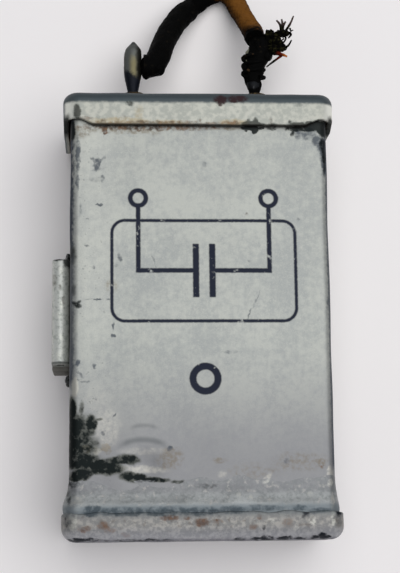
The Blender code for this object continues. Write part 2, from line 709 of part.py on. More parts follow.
def main():
    clear_scene()
    carrier()
    tin = finish("tin_plate", (0.42, 0.43, 0.42), 0.38, 0.9)
    solder = finish("solder", (0.36, 0.36, 0.37), 0.45, 0.9)
    lug_metal = finish("lug_metal", (0.30, 0.30, 0.27), 0.40, 0.9)
    brass = finish("rivet_brass", (0.45, 0.34, 0.16), 0.40, 1.0)
    foil = finish("foil", (0.60, 0.60, 0.60), 0.30, 1.0)
    fibre = finish("red_fibre", (0.20, 0.045, 0.03), 0.70, 0.0)
    kraft = finish("kraft_paper", (0.35, 0.22, 0.11), 0.85, 0.0)
    board = finish("press_board", (0.25, 0.16, 0.09), 0.85, 0.0)
    pitch = finish("black_pitch", (0.015, 0.013, 0.012), 0.35, 0.0)
    cotton = finish("lead_cotton", (0.11, 0.05, 0.02), 0.90, 0.0)
    copper = finish("tinned_copper", (0.20, 0.12, 0.07), 0.45, 1.0)

    make_body(tin)
    make_lid(tin)
    make_base(tin)
    make_fillet(solder)
    make_hook(tin, solder)
    metals = {"lug": lug_metal, "brass": brass, "foil": foil}
    make_terminal("left", LEFT_LUG_X, metals, fibre)
    make_terminal("right", RIGHT_LUG_X, metals, fibre)
    make_contents({"board": board, "kraft": kraft}, foil, pitch)
    make_joints(solder)
    make_jumper(cotton, copper)
    make_fray(cotton)


main()
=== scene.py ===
# %% [markdown]
# # Dressing a flat-can paper capacitor
#
# The part is a sealed tin can, about three centimetres wide, with two solder lugs and a short
# cotton-covered lead between them. The solids already have their sizes and places, so this lesson only
# makes them look like an old soldered can: finer sheet metal, solder, cotton, rust and worn ink. We load
# the solids as a frame and keep its box, because nothing that we add may make the part bigger.

# %% Load the frame
import math
import random

import bmesh
import bpy
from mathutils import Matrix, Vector, noise


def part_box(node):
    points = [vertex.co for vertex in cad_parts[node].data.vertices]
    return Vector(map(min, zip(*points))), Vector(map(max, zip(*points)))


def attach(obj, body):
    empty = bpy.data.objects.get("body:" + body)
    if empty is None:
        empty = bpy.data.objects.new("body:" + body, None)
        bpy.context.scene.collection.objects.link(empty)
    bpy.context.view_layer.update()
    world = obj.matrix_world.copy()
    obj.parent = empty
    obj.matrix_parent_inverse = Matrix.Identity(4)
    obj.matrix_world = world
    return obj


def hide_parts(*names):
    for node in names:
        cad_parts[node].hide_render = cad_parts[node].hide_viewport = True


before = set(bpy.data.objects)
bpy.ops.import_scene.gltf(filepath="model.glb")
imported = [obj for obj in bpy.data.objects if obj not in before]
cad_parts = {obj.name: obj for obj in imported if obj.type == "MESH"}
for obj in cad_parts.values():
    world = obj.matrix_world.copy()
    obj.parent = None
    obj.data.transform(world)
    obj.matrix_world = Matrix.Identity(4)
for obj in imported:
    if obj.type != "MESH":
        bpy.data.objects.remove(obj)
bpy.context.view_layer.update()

# %% [markdown]
# ## The can's own axes
#
# Metres from a corner of the world are hard to think in. We take the middle of the two caps as the can's
# own axis and work in millimetres from there: x runs across the broad face, y up the can towards the
# lugs, and z out of the face that carries the print. The caps' boxes give that middle, so nothing is
# typed twice.

# %% Measure the can
MM = 0.001
lid_low, lid_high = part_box("top_lid")
base_low, base_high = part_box("bottom_cap")
body_low, body_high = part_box("can_body")
AXIS = Vector((base_low.x + base_high.x, base_low.y + lid_high.y, base_low.z + base_high.z)) / 2


def on_can(corner):
    """A corner of a box in metres, turned into millimetres on the can's own axes."""
    return (corner - AXIS) / MM


def in_world(point):
    """A point in millimetres on the can's own axes, turned into metres in the frame."""
    return AXIS + Vector(point) * MM


CAP = on_can(base_high)
TOP = on_can(lid_high).y
LID_EDGE = on_can(lid_low).y
BASE_RIM = CAP.y
BODY = on_can(body_high)
print("can half sizes", [round(x, 3) for x in (CAP.x, TOP, CAP.z)], "body", [round(x, 3) for x in BODY])

# %% [markdown]
# ## The camera
#
# The photograph looks almost straight down on the can, from a hand's length away and a little below its
# middle, so the lower end is seen slightly larger. A lens is easiest to match as a focal length in
# pixels: Blender's sensor is 36 mm along the picture's long side, and one rule of three gives the lens.

# %% Place the camera
PICTURE_HEIGHT = 573
FOCAL_PIXELS = 1420
SENSOR = 36.0
CAMERA_PLACE = (-11.4, -26.85, 177.15)
CAMERA_TURN = (10.032, -3.693, -0.658)


def add_object(name, data):
    """A new object in the scene."""
    obj = bpy.data.objects.new(name, data)
    bpy.context.scene.collection.objects.link(obj)
    return obj


lens = bpy.data.cameras.new("camera")
lens.sensor_width = SENSOR
lens.lens = SENSOR * FOCAL_PIXELS / PICTURE_HEIGHT
lens.clip_start = 0.001
camera = add_object("camera", lens)
camera.location = in_world(CAMERA_PLACE)
camera.rotation_euler = [math.radians(angle) for angle in CAMERA_TURN]
bpy.context.scene.camera = camera
print("lens", round(lens.lens, 2), "mm at", [round(x, 4) for x in camera.location])

# %% [markdown]
# ## Shader sums in Python
#
# Node trees are easy to read as a picture and hard to read as a script. One small class wraps a node's
# output, so that a mask can be written as plain arithmetic, and one method adds every other kind of node.
# Colours go through Mix nodes, because a Math node would turn them grey.

# %% Wrap a socket
class Signal:
    """An output socket of a material. Arithmetic on it adds Math nodes to the same material."""

    def __init__(self, socket):
        self.socket = socket
        self.tree = socket.id_data

    def node(self, kind, settings, sockets, output=0):
        """Adds any node: its settings first, then a value or a link for each socket."""
        made = self.tree.nodes.new("ShaderNode" + kind)
        for name, value in settings.items():
            setattr(made, name, value)
        for name, value in sockets.items():
            if isinstance(value, Signal):
                value.feed(made.inputs[name])
            else:
                made.inputs[name].default_value = value
        return Signal(made.outputs[output])

    def feed(self, target):
        self.tree.links.new(self.socket, target)

    def math(self, operation, *values):
        return self.node("Math", {"operation": operation}, dict(enumerate(values)))

    def vector(self, operation, *values, output=0):
        return self.node("VectorMath", {"operation": operation}, dict(enumerate(values)), output)

    def __add__(self, other):
        return self.math("ADD", self, other)

    def __radd__(self, other):
        return self.math("ADD", other, self)

    def __sub__(self, other):
        return self.math("SUBTRACT", self, other)

    def __rsub__(self, other):
        return self.math("SUBTRACT", other, self)

    def __mul__(self, other):
        return self.math("MULTIPLY", self, other)

    def __rmul__(self, other):
        return self.math("MULTIPLY", other, self)

    def __pow__(self, other):
        return self.math("POWER", self, other)

    def __abs__(self):
        return self.math("ABSOLUTE", self)

    def most(self, other):
        return self.math("MAXIMUM", self, other)

    def least(self, other):
        return self.math("MINIMUM", self, other)

    def fade(self, start, end):
        """0 before start and 1 after end, with a soft step between. Start may be above end."""
        sockets = {"Value": self, "From Min": start, "From Max": end}
        return self.node("MapRange", {"interpolation_type": "SMOOTHSTEP"}, sockets)


print("sockets can be reckoned with")

# %% Colours, noise and the start of a finish
DULL_SPECULAR = 0.2


def screen(red, green, blue):
    """A colour as a screen shows it, from 0 to 255, as the linear light that a shader uses."""
    shares = [value / 255 for value in (red, green, blue)]
    light = [x / 12.92 if x <= 0.04045 else ((x + 0.055) / 1.055) ** 2.4 for x in shares]
    return (*light, 1.0)


def mix(mask, under, over):
    """One colour laid over another where the mask is 1. The mask or the lower colour is a signal."""
    maker = mask if isinstance(mask, Signal) else under
    return maker.node("Mix", {"data_type": "RGBA"}, {0: mask, 6: under, 7: over}, 2)


def cloud(place, scale, detail=3.0, roughness=0.55):
    """Soft noise round a half. Scale is about how many blots fit in a millimetre."""
    sockets = {"Vector": place, "Scale": scale, "Detail": detail, "Roughness": roughness}
    return place.node("TexNoise", {"normalize": True}, sockets)


def wander(place, scale, reach):
    """The same place pushed about by noise, so that an edge drawn on it comes out ragged."""
    sockets = {"Vector": place, "Scale": scale, "Detail": 3.0}
    colour = place.node("TexNoise", {"normalize": True}, sockets, 1)
    centred = place.vector("SUBTRACT", colour, (0.5, 0.5, 0.5))
    reach = (2 * reach, 2 * reach, 2 * reach)
    return place.vector("MULTIPLY_ADD", centred, reach, place)


def split(place):
    """The x, y and z of a place."""
    return [place.node("SeparateXYZ", {}, {0: place}, axis) for axis in range(3)]


def stretched(place, shares):
    """A place scaled by three shares. Noise on it is drawn out along the axis with the smallest share."""
    return place.vector("MULTIPLY", place, shares)


def start_finish(name):
    """A new material, its shader, and each point's place in millimetres on the can's own axes."""
    material = bpy.data.materials.new(name)
    material.use_nodes = True
    shader = material.node_tree.nodes["Principled BSDF"]
    shader.inputs["Specular IOR Level"].default_value = DULL_SPECULAR
    place = Signal(material.node_tree.nodes.new("ShaderNodeTexCoord").outputs["Object"])
    place = place.vector("SUBTRACT", place, AXIS)
    place = place.node("VectorMath", {"operation": "SCALE"}, {0: place, "Scale": 1 / MM})
    return material, shader, place


def roughen(shader, height, depth):
    """Fine relief from a height of 0 to 1, whose full depth is given in millimetres."""
    sockets = {"Height": height, "Distance": depth * MM, "Strength": 1.0}
    height.node("Bump", {}, sockets).feed(shader.inputs["Normal"])


print("shader helpers ready")

# %% [markdown]
# ## Pieces
#
# Every piece is modelled in millimetres on the can's axes. At the end its bmesh is scaled to metres,
# moved to its place and made an object at the origin, which rides on the can and hides the plain solid it
# stands for. Edges sharper than a set angle stay crisp and all others are shaded round.

# %% Finish a piece
CRISP_ANGLE = math.radians(38)


def face_outwards(bm):
    """Turns every face outwards."""
    bmesh.ops.recalc_face_normals(bm, faces=bm.faces[:])


def piece(name, bm, material, slot, *nodes):
    """Makes an object from a bmesh, lets it ride on the can and stand for the named solids."""
    bmesh.ops.scale(bm, vec=(MM, MM, MM), verts=bm.verts[:])
    bmesh.ops.translate(bm, vec=AXIS, verts=bm.verts[:])
    mesh = bpy.data.meshes.new(name)
    bm.to_mesh(mesh)
    bm.free()
    mesh.shade_smooth()
    mesh.set_sharp_from_angle(angle=CRISP_ANGLE)
    mesh.materials.append(material)
    obj = add_object(name, mesh)
    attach(obj, "root")
    if nodes:
        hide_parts(*nodes)
    print(name, len(mesh.polygons), "faces")
    return obj


print("edges stay crisp above", round(math.degrees(CRISP_ANGLE)), "degrees")

# %% [markdown]
# ## The lead's cotton
#
# The lead is stranded wire under a braid of varnished cotton. At its left end it is black with tar, and
# to the right the old varnish is a golden brown. Its golden top and dark underside are painted light and
# shade, set by how much the braid faces up. Noise alone could not know that, so the mesh carries three
# numbers on its points: how far along the lead they lie, how high on the braid, and how much they face
# upwards.

# %% Cotton finish
TAR = screen(3, 3, 3)
VARNISH = screen(112, 72, 28)
VARNISH_DARK_AND_SHADED = screen(22, 12, 7)
TAR_ENDS = 17.0
VARNISH_STARTS = 20.0
BURNT = (28.2, 30.4)
SOOTY = 0.04


def attribute(place, name):
    """A number that the mesh carries on its points."""
    return place.node("Attribute", {"attribute_name": name}, {}, 2)


def cotton_finish():
    """Varnished cotton: tar at one end, golden brown between, burnt at the other, painted lit on top and
    shaded below.
    """
    material, shader, place = start_finish("varnished_cotton")
    along = attribute(place, "along") + 5 * (cloud(place, 0.8) - 0.5)
    streaks = cloud(place, 1.6, 4.0)
    # Painted light and shade: the braid is golden where it faces up and dark where it faces down, and the
    # strands' crowns are worn.
    worn_and_lit = 0.3 * attribute(place, "raised") + 0.9 * attribute(place, "upward_for_painted_light") + 0.8 * streaks
    brown = mix(worn_and_lit.fade(0.45, 1.5), VARNISH_DARK_AND_SHADED, VARNISH)
    dark = along.fade(VARNISH_STARTS, TAR_ENDS).most(along.fade(*BURNT))
    mix(dark, brown, TAR).feed(shader.inputs["Base Color"])
    (0.85 - 0.2 * streaks + 0.1 * dark).feed(shader.inputs["Roughness"])
    shader.inputs["Specular IOR Level"].default_value = SOOTY
    roughen(shader, cloud(place, 9.0, 2.0), 0.03)
    return material


COTTON = cotton_finish()
print("cotton finish with", len(COTTON.node_tree.nodes), "nodes")

# %% [markdown]
# ## The jumper lead
#
# The lead climbs off the left lug, arches back over the table and comes down to the right lug. A curve
# with a bevel would give a smooth hose. We draw a ring along the route instead, extruding it step by
# step, because then every ring can swell where the strands of the braid cross. The route's points are
# listed below.

# %% The lead's route
LEAD_DIAMETER = 2.5
LEAD_ROUTE = [
    Vector(point) / MM
    for point in (
        (-0.00662, 0.03408, -0.00172),
        (-0.00612, 0.03409, -0.00174),
        (-0.00549, 0.03428, -0.00180),
        (-0.00495, 0.03483, -0.00195),
        (-0.00460, 0.03557, -0.00225),
        (-0.00427, 0.03660, -0.00265),
        (-0.00384, 0.03788, -0.00330),
        (-0.00319, 0.03953, -0.00425),
        (-0.00233, 0.04124, -0.00525),
        (-0.00144, 0.04256, -0.00605),
        (-0.00043, 0.04371, -0.00670),
        (0.00063, 0.04476, -0.00715),
        (0.00168, 0.04572, -0.00738),
        (0.00285, 0.04650, -0.00748),
        (0.00412, 0.04680, -0.00748),
        (0.00528, 0.04630, -0.00735),
        (0.00609, 0.04510, -0.00690),
        (0.00664, 0.04366, -0.00610),
        (0.00716, 0.04228, -0.00520),
        (0.00763, 0.04089, -0.00425),
        (0.00801, 0.03958, -0.00315),
        (0.00818, 0.03860, -0.00220),
        (0.00820, 0.03808, -0.00176),
    )
]


def soft_step(share):
    """0 to 1 with a soft start and end."""
    share = min(1.0, max(0.0, share))
    return share * share * (3 - 2 * share)


def smooth_route(points, step):
    """Points about a step apart on a smooth curve through the given ones."""
    ends = [2 * points[0] - points[1], *points, 2 * points[-1] - points[-2]]
    sampled = []
    for before, here, there, after in zip(ends, ends[1:], ends[2:], ends[3:]):
        pieces = max(1, round((there - here).length / step))
        for number in range(pieces):
            t = number / pieces
            line = 2 * here + (there - before) * t
            bend = (2 * before - 5 * here + 4 * there - after) * t**2
            turn = (3 * here - before - 3 * there + after) * t**3
            sampled.append((line + bend + turn) / 2)
    return sampled + [points[-1]]


LEAD_STEP = 0.14
lead_path = smooth_route(LEAD_ROUTE, LEAD_STEP)
lead_length = sum((b - a).length for a, b in zip(lead_path, lead_path[1:]))
print("lead", len(lead_path), "rings,", round(lead_length, 2), "mm long")

# %% Draw a ring along a path
def ring_edges(bm, ring):
    """The closed loop of edges through a ring of points."""
    return [bm.edges.get((ring[i - 1], ring[i])) for i in range(len(ring))]


def points_of(made):
    """The points among the geometry that an operator gives back."""
    return [item for item in made if isinstance(item, bmesh.types.BMVert)]


def next_ring(bm, ring):
    """Extrudes a ring's edges and gives the new points in the same order."""
    made = bmesh.ops.extrude_edge_only(bm, edges=ring_edges(bm, ring))["geom"]
    fresh = set(points_of(made))
    ends = [[edge.other_vert(vert) for edge in vert.link_edges] for vert in ring]
    return [next(end for end in choice if end in fresh) for choice in ends]


def sweep(bm, path, sides, shape_at):
    """A closed tube along a path. shape_at(distance, angle) gives its radius and how raised it is there."""
    numbers = bm.verts.layers.float
    layers = [numbers.get(name) or numbers.new(name) for name in ("along", "raised", "upward_for_painted_light")]
    ring = bmesh.ops.create_circle(bm, cap_ends=True, segments=sides, radius=1)["verts"]
    around = [vert.co.copy() for vert in ring]
    heading = (path[1] - path[0]).normalized()
    turn = Vector((0, 0, 1)).rotation_difference(heading)
    travelled = 0.0
    for i, centre in enumerate(path):
        if i:
            travelled += (centre - path[i - 1]).length
            ahead = (path[min(i + 1, len(path) - 1)] - path[i - 1]).normalized()
            turn = heading.rotation_difference(ahead) @ turn
            heading = ahead
            ring = next_ring(bm, ring)
        for vert, spoke in zip(ring, around):
            radius, raised = shape_at(travelled, math.atan2(spoke.y, spoke.x))
            outward = turn @ spoke
            vert.co = centre + outward * radius
            for layer, number in zip(layers, (travelled, raised, outward.z)):
                vert[layer] = number
    bmesh.ops.edgeloop_fill(bm, edges=ring_edges(bm, ring))


print("rings can be drawn along a path")

# %% Braid the lead
BRAID_STRANDS = 12
BRAID_LAY = 5.0
BRAID_RELIEF = 0.07
LEAD_SIDES = 96
SHAG = 0.14


def strand_dome(phase):
    """The rounded back of a strand, from 0 at its edges to 1 along its middle."""
    across = 2 * (phase % 1.0) - 1
    return math.sqrt(1 - across * across)


def braid_at(distance, angle):
    """Two sets of strands wind opposite ways. Where they cross, every other crossing lies on top."""
    share = BRAID_STRANDS * angle / (2 * math.pi)
    climb = BRAID_STRANDS * distance / (BRAID_LAY * 2)
    right, left = share + climb, share - climb
    over = (math.floor(right) + math.floor(left)) % 2 == 0
    raised = strand_dome(right) if over else strand_dome(left)
    spoke = Vector((math.cos(angle), math.sin(angle), distance * 0.5))
    swell = SHAG * noise.noise(spoke * 1.3) + 0.4 * SHAG * noise.noise(spoke * 4.1)
    return LEAD_DIAMETER / 2 + 0.06 + swell + BRAID_RELIEF * (raised - 0.7), raised


bm = bmesh.new()
sweep(bm, lead_path, LEAD_SIDES, braid_at)
face_outwards(bm)
lead = piece("jumper_cord", bm, COTTON, "lead_cotton", "jumper_lead")

# %% [markdown]
# ## The frayed end
#
# At the right lug the cotton has come undone. A dark clump of it hangs on the lead, with a few stray
# threads standing out. The clump is a handful of ragged lumps under short threads, and each stray thread
# is a thin tube on a curve of three given points. Chance is seeded, so that every run gives the
# same clump. Hair particles would not survive the export.

# %% Lumps and threads
THREAD_STEP = 0.2
THREAD_SIDES = 9
chance = random.Random(11)


def jitter(reach):
    """A small step in any direction."""
    return Vector([chance.uniform(-reach, reach) for _ in range(3)])


def rugged(place):
    """Noise in two sizes, about -1 to 1."""
    return noise.noise(place) + 0.5 * noise.noise(place * 2.4)


def lump(bm, centre, half, raggedness, seed):
    """A rounded lump, stretched to its half sizes and pushed about by noise."""
    made = bmesh.ops.create_icosphere(bm, subdivisions=4, radius=1)["verts"]
    offset = Vector((seed * 3.1, seed * 1.7, seed * 5.3))
    for vert in made:
        vert.co *= 1 + raggedness * rugged(vert.co * 1.2 + offset)
    bmesh.ops.scale(bm, vec=half, verts=made)
    bmesh.ops.translate(bm, vec=centre, verts=made)


def thread(bm, points, radius):
    """One loose thread through a few points, which thins towards its tip."""
    path = smooth_route(points, THREAD_STEP)
    length = sum((b - a).length for a, b in zip(path, path[1:]))

    def thread_at(distance, angle):
        spoke = Vector((distance * 3, math.cos(angle), math.sin(angle)))
        return radius * (1 + 0.25 * noise.noise(spoke + points[0])) * (1.05 - 0.5 * distance / length), 0.5

    sweep(bm, path, THREAD_SIDES, thread_at)


print("lumps and threads of", THREAD_SIDES, "sides")

# %% Fray the cotton
CLUMP = (
    ((10.2, 38.4, -1.5), (0.80, 0.80, 0.80)),
    ((10.9, 37.5, -1.4), (0.85, 0.80, 0.80)),
    ((11.5, 38.7, -1.3), (0.80, 0.45, 0.60)),
    ((10.5, 36.5, -1.4), (0.75, 0.70, 0.70)),
    ((12.3, 38.8, -1.3), (0.45, 0.34, 0.45)),
    ((11.5, 36.8, -1.3), (0.65, 0.55, 0.50)),
)
STRAY_THREADS = (
    ((12.2, 39.0, -1.4), (12.9, 40.1, -1.2), (13.35, 41.15, -1.3), 0.19),
    ((11.7, 38.9, -1.2), (11.5, 39.8, -1.0), (11.05, 40.45, -1.1), 0.22),
    ((11.7, 38.9, -1.3), (11.85, 39.8, -1.2), (11.72, 40.6, -1.0), 0.22),
    ((11.9, 38.9, -1.3), (11.9, 39.6, -1.2), (12.25, 40.3, -1.1), 0.22),
    ((12.4, 38.9, -1.3), (12.95, 38.6, -1.2), (12.6, 38.05, -1.2), 0.20),
    ((11.8, 38.9, -1.3), (12.2, 37.9, -1.0), (11.6, 37.0, -1.1), 0.17),
    ((11.8, 36.6, -1.3), (12.5, 36.95, -1.2), (13.0, 37.75, -1.2), 0.18),
    ((11.6, 35.6, -1.2), (10.6, 34.8, -1.1), (9.6, 34.1, -1.4), 0.18),
    ((10.4, 36.2, -1.2), (11.2, 35.8, -1.0), (12.0, 35.6, -1.0), 0.34),
    ((11.0, 35.9, -1.0), (11.6, 35.6, -0.7), (12.3, 35.35, -0.8), 0.22),
)
CLUMP_RAGGED = 0.45
SHORT_THREAD = 0.13
SHORT_THREADS = 24


def fray():
    """The clump, the stray threads and the short ones as one mesh."""
    bm = bmesh.new()
    for number, (centre, half) in enumerate(CLUMP):
        lump(bm, centre, half, CLUMP_RAGGED, 40 + number)
    for *points, radius in STRAY_THREADS:
        thread(bm, [Vector(point) for point in points], radius)
    for number in range(SHORT_THREADS):
        root = Vector(CLUMP[number % len(CLUMP)][0]) + jitter(0.5)
        tip = root + Vector((0.15, 0.0, 0.3)) + jitter(0.6)
        thread(bm, [root, (root + tip) / 2 + jitter(0.3), tip], SHORT_THREAD)
    face_outwards(bm)
    return bm


def fray_finish():
    """Dark cotton with an old green bloom, grey-brown tips, and one thread that has kept its red dye."""
    material, shader, place = start_finish("frayed_cotton")
    x, y = split(place)[:2]
    streaks = cloud(place, 2.2, 3.0)
    colour = mix(streaks.fade(0.48, 0.75), screen(5, 5, 4), screen(48, 47, 24))
    colour = mix(0.7 * y.fade(39.4, 40.3), colour, screen(88, 74, 70))
    red = (x - y).fade(-25.4, -24.6) * y.fade(36.3, 35.9) * x.fade(10.6, 11.2)
    dyed = mix(x.fade(11.5, 12.2), screen(84, 24, 12), screen(186, 108, 44))
    mix(red, colour, dyed).feed(shader.inputs["Base Color"])
    shader.inputs["Roughness"].default_value = 0.9
    shader.inputs["Specular IOR Level"].default_value = SOOTY
    roughen(shader, cloud(place, 14.0, 2.0), 0.02)
    return material


tuft = piece("frayed_cotton", fray(), fray_finish(), "lead_cotton", "frayed_braid")

# %% [markdown]
# ## The bare end wound on the right lug
#
# The wire's bare end takes three turns round the lug's blade before it is soldered. A screw modifier
# could wind it, but the blade is flat, so the turns are ovals: a short formula gives the path and the
# same ring is drawn along it.

# %% Wind the bare end
LUG_PITCH = 15.875
LUG_X = LUG_PITCH / 2
BLADE_Z = -1.95
WIRE = 0.5
WIRE_SIDES = 21
WRAP_TURNS = 3
WRAP_PITCH = 1.05
WRAP_TOP = 35.775
WRAP_HALF = Vector((1.37, 0.95))
WRAP_START = math.radians(60)
WRAP_POINTS = 40


def wrap_path():
    """From the lead's end over the blade's shoulder and down in oval turns."""
    turns = []
    for step in range(WRAP_TURNS * WRAP_POINTS + 1):
        turn = step / WRAP_POINTS
        angle = WRAP_START + 2 * math.pi * turn
        across = WRAP_HALF.x * math.cos(angle) + 0.08 * noise.noise(Vector((turn * 2.3, 0, 5)))
        out = WRAP_HALF.y * math.sin(angle) + 0.05 * noise.noise(Vector((turn * 2.3, 9, 5)))
        turns.append(Vector((LUG_X + across, WRAP_TOP - WRAP_PITCH * turn, BLADE_Z + out)))
    leaving = (LEAD_ROUTE[-1] - LEAD_ROUTE[-2]).normalized()
    first = LEAD_ROUTE[-1] + 0.1 * leaving
    over = Vector((LUG_X + 0.45, 37.2, BLADE_Z + WRAP_HALF.y))
    down = turns[0] + Vector((0.1, 0.45, 0.1))
    return smooth_route([first, over, down], THREAD_STEP)[:-1] + [down] + turns


def wire_at(distance, angle):
    """A stranded wire: seven shallow lobes that wind slowly."""
    lobe = math.cos(7 * angle + distance * 4)
    return WIRE / 2 + 0.035 * lobe, 0.5 + 0.5 * lobe


def wire_finish():
    """Tarred wire, with bare copper on the backs of its strands."""
    material, shader, place = start_finish("tarred_copper")
    patches = cloud(place, 1.3, 4.0)
    bare = patches.fade(0.62, 0.72) * attribute(place, "raised")
    mix(bare, screen(4, 4, 4), screen(112, 86, 62)).feed(shader.inputs["Base Color"])
    bare.feed(shader.inputs["Metallic"])
    shader.inputs["Specular IOR Level"].default_value = SOOTY
    (0.65 - 0.25 * bare).feed(shader.inputs["Roughness"])
    roughen(shader, cloud(place, 8.0, 3.0), 0.03)
    return material


bm = bmesh.new()
sweep(bm, wrap_path(), WIRE_SIDES, wire_at)
face_outwards(bm)
wrap = piece("bare_wire_wrap", bm, wire_finish(), "tinned_copper", "right_lead_wrap")

# %% [markdown]
# ## Old tar
#
# Tar has soaked the lead's left half, filled its elbow and run over the turns on the right lug. The coat
# of the lead is one more ring drawn along the route, the column on the lug is a stack of rings, each with
# its own middle and width, and a few lumps hide the joins.

# %% Run the tar
SKIN_SIDES = 40
SKIN_STEP = 0.13
TAR_SKIN = (
    (30.1, 7.97, 0.55),
    (31.0, 8.02, 0.80),
    (31.75, 7.96, 1.00),
    (32.5, 7.85, 1.12),
    (33.4, 7.95, 1.30),
    (34.2, 8.05, 1.40),
    (34.9, 8.50, 1.40),
    (35.6, 8.70, 1.55),
    (36.4, 8.90, 1.62),
    (37.3, 9.00, 1.58),
    (38.0, 8.90, 1.36),
    (38.4, 8.80, 0.70),
)
TAR_LUMPS = (
    ((6.95, 35.50, -1.6), (0.36, 0.34, 0.45)),
    ((6.75, 34.10, -1.6), (0.40, 0.45, 0.50)),
    ((6.95, 32.80, -1.7), (0.36, 0.40, 0.45)),
    ((9.70, 35.60, -1.5), (0.70, 0.70, 0.60)),
    ((-4.85, 34.20, -1.85), (1.15, 1.45, 1.30)),
    ((-6.10, 34.00, -1.75), (1.05, 1.50, 1.20)),
    ((-4.20, 35.90, -2.20), (1.05, 1.30, 1.20)),
)
TAR_RAGGED = 0.20
SOAKED_TO = (12.5, 15.0)
SOAKED = 0.38
SOAKED_SIDES = 56


def skin(stations, flatness, bulge, seed):
    """A closed skin over a lug's blade. Each station is a height, a middle and a half width."""
    bm = bmesh.new()
    ring = bmesh.ops.create_circle(bm, cap_ends=True, segments=SKIN_SIDES, radius=1)["verts"]
    around = [vert.co.copy() for vert in ring]
    rings = smooth_route([Vector(station) for station in stations], SKIN_STEP)
    for number, (height, middle, half) in enumerate(rings):
        if number:
            ring = next_ring(bm, ring)
        for vert, spoke in zip(ring, around):
            swell = half * (1 + bulge * rugged(Vector((spoke.x * half, height + seed, spoke.y * half))))
            vert.co = (middle + swell * spoke.x, height, BLADE_Z + flatness * swell * spoke.y)
    bmesh.ops.edgeloop_fill(bm, edges=ring_edges(bm, ring))
    face_outwards(bm)
    return bm


def soaked_at(distance, angle):
    """The tarred half of the lead, thicker than the braid until it runs out."""
    start, end = SOAKED_TO
    spoke = Vector((math.cos(angle), math.sin(angle), distance * 0.5))
    coat = SOAKED * soft_step((end - distance) / (end - start)) - 0.1
    return LEAD_DIAMETER / 2 + coat + 0.09 * rugged(spoke * 1.5), 0.5


def tar_finish():
    """Nearly black tar with a few dry brown patches."""
    material, shader, place = start_finish("old_tar")
    patches = cloud(place, 1.4, 4.0)
    colour = mix(patches.fade(0.55, 0.85), screen(3, 3, 3), screen(30, 26, 20))
    colour.feed(shader.inputs["Base Color"])
    (0.50 + 0.4 * patches).feed(shader.inputs["Roughness"])
    shader.inputs["Specular IOR Level"].default_value = SOOTY
    roughen(shader, cloud(place, 5.0, 4.0), 0.08)
    return material


bm = skin(TAR_SKIN, flatness=0.68, bulge=0.12, seed=3.0)
soaked_rings = round(SOAKED_TO[1] / lead_length * len(lead_path))
sweep(bm, lead_path[:soaked_rings], SOAKED_SIDES, soaked_at)
for number, (centre, half) in enumerate(TAR_LUMPS):
    lump(bm, centre, half, TAR_RAGGED, number)
face_outwards(bm)
tar = piece("tar_lumps", bm, tar_finish(), "lead_cotton")

print("lead declared,", round(lead_length, 2), "mm")

# %% [markdown]
# ## Old tin plate
#
# Tin plate is steel with a thin coat of tin. New, it is a bright mirror. After decades the tin has a pale
# dull bloom, with faint streaks left by the rolling mill. One function makes that metal, and each sheet
# hands it the marks of its own wear and its painted light and shade as layers: a mask, a colour, a
# roughness and how metallic the mark is.

# %% Tin finish
TIN_PALE = screen(171, 173, 167)
TIN_DULL = screen(147, 150, 148)
TIN_BRIGHT = screen(196, 196, 187)
TIN_METALLIC = 0.72


def tin_finish(name, layers_of):
    """Aged tin plate, with layers of wear and painted light and shade from layers_of(place)."""
    material, shader, place = start_finish(name)
    rolled = stretched(place, (1.0, 0.06, 1.0))
    bloom = 0.4 * cloud(place, 0.12, 3.0) + 0.5 * cloud(place, 1.3, 5.0, 0.7)
    clouds = bloom + 0.1 * cloud(rolled, 2.2, 3.0)
    grain = cloud(place, 6.0, 2.0)
    colour = mix(clouds.fade(0.38, 0.62), TIN_DULL, TIN_PALE)
    colour = mix(0.3 * grain.fade(0.5, 0.75), colour, TIN_BRIGHT)
    rough = 0.38 + 0.18 * clouds + 0.10 * grain
    metal = TIN_METALLIC - 0.15 * grain
    for mask, stain, stain_rough, stain_metal in layers_of(place):
        colour = mix(mask, colour, stain)
        rough = rough + mask * (stain_rough - rough)
        metal = metal + mask * (stain_metal - metal)
    colour.feed(shader.inputs["Base Color"])
    rough.feed(shader.inputs["Roughness"])
    metal.feed(shader.inputs["Metallic"])
    roughen(shader, 0.5 * grain + 0.5 * cloud(place, 1.5, 3.0), 0.012)
    return material


print("tin of metallic", TIN_METALLIC)

# %% [markdown]
# ## Marks of wear
#
# A mark drawn as an oval looks like a sticker. Real wear is thickest in the middle and breaks up into
# specks at its edge. So each mark is only a soft hill, and noise makes it higher here and lower there
# before it is cut off at a level: the noise bites into its slopes, and the bare ground beside it stays
# clean. A scratch is a long thin hill, turned.

# %% Hills and bites
HILL_REACH = 2.6


def flat(place):
    """A place on the broad face. Its height is made 1, so that one dot product can turn and shift it."""
    return place.vector("MULTIPLY_ADD", place, (1, 1, 0), (0, 0, 1))


def hills(sheet, marks):
    """Soft hills on a flat place. A mark is a middle, two half sizes in mm, a height and perhaps a turn."""
    total = None
    for x, y, half_x, half_y, height, *turn in marks:
        right, up = math.cos(math.radians(sum(turn))), math.sin(math.radians(sum(turn)))
        row = (right / half_x, up / half_x, -(right * x + up * y) / half_x)
        across = sheet.vector("DOT_PRODUCT", sheet, row, output=1)
        row = (-up / half_y, right / half_y, (up * x - right * y) / half_y)
        along = sheet.vector("DOT_PRODUCT", sheet, row, output=1)
        hill = (across * across + along * along).fade(HILL_REACH, 0.0) * height
        total = hill if total is None else total.most(hill)
    return total


def bitten(hill, grain, bite=2.6, low=0.1, high=1.2):
    """A ragged mask: noise raises or lowers a hill by a share of its height. Flat ground stays clear."""
    return (hill * (1 + bite * (grain - 0.5))).fade(low, high)


print("marks of wear can be raised and bitten")

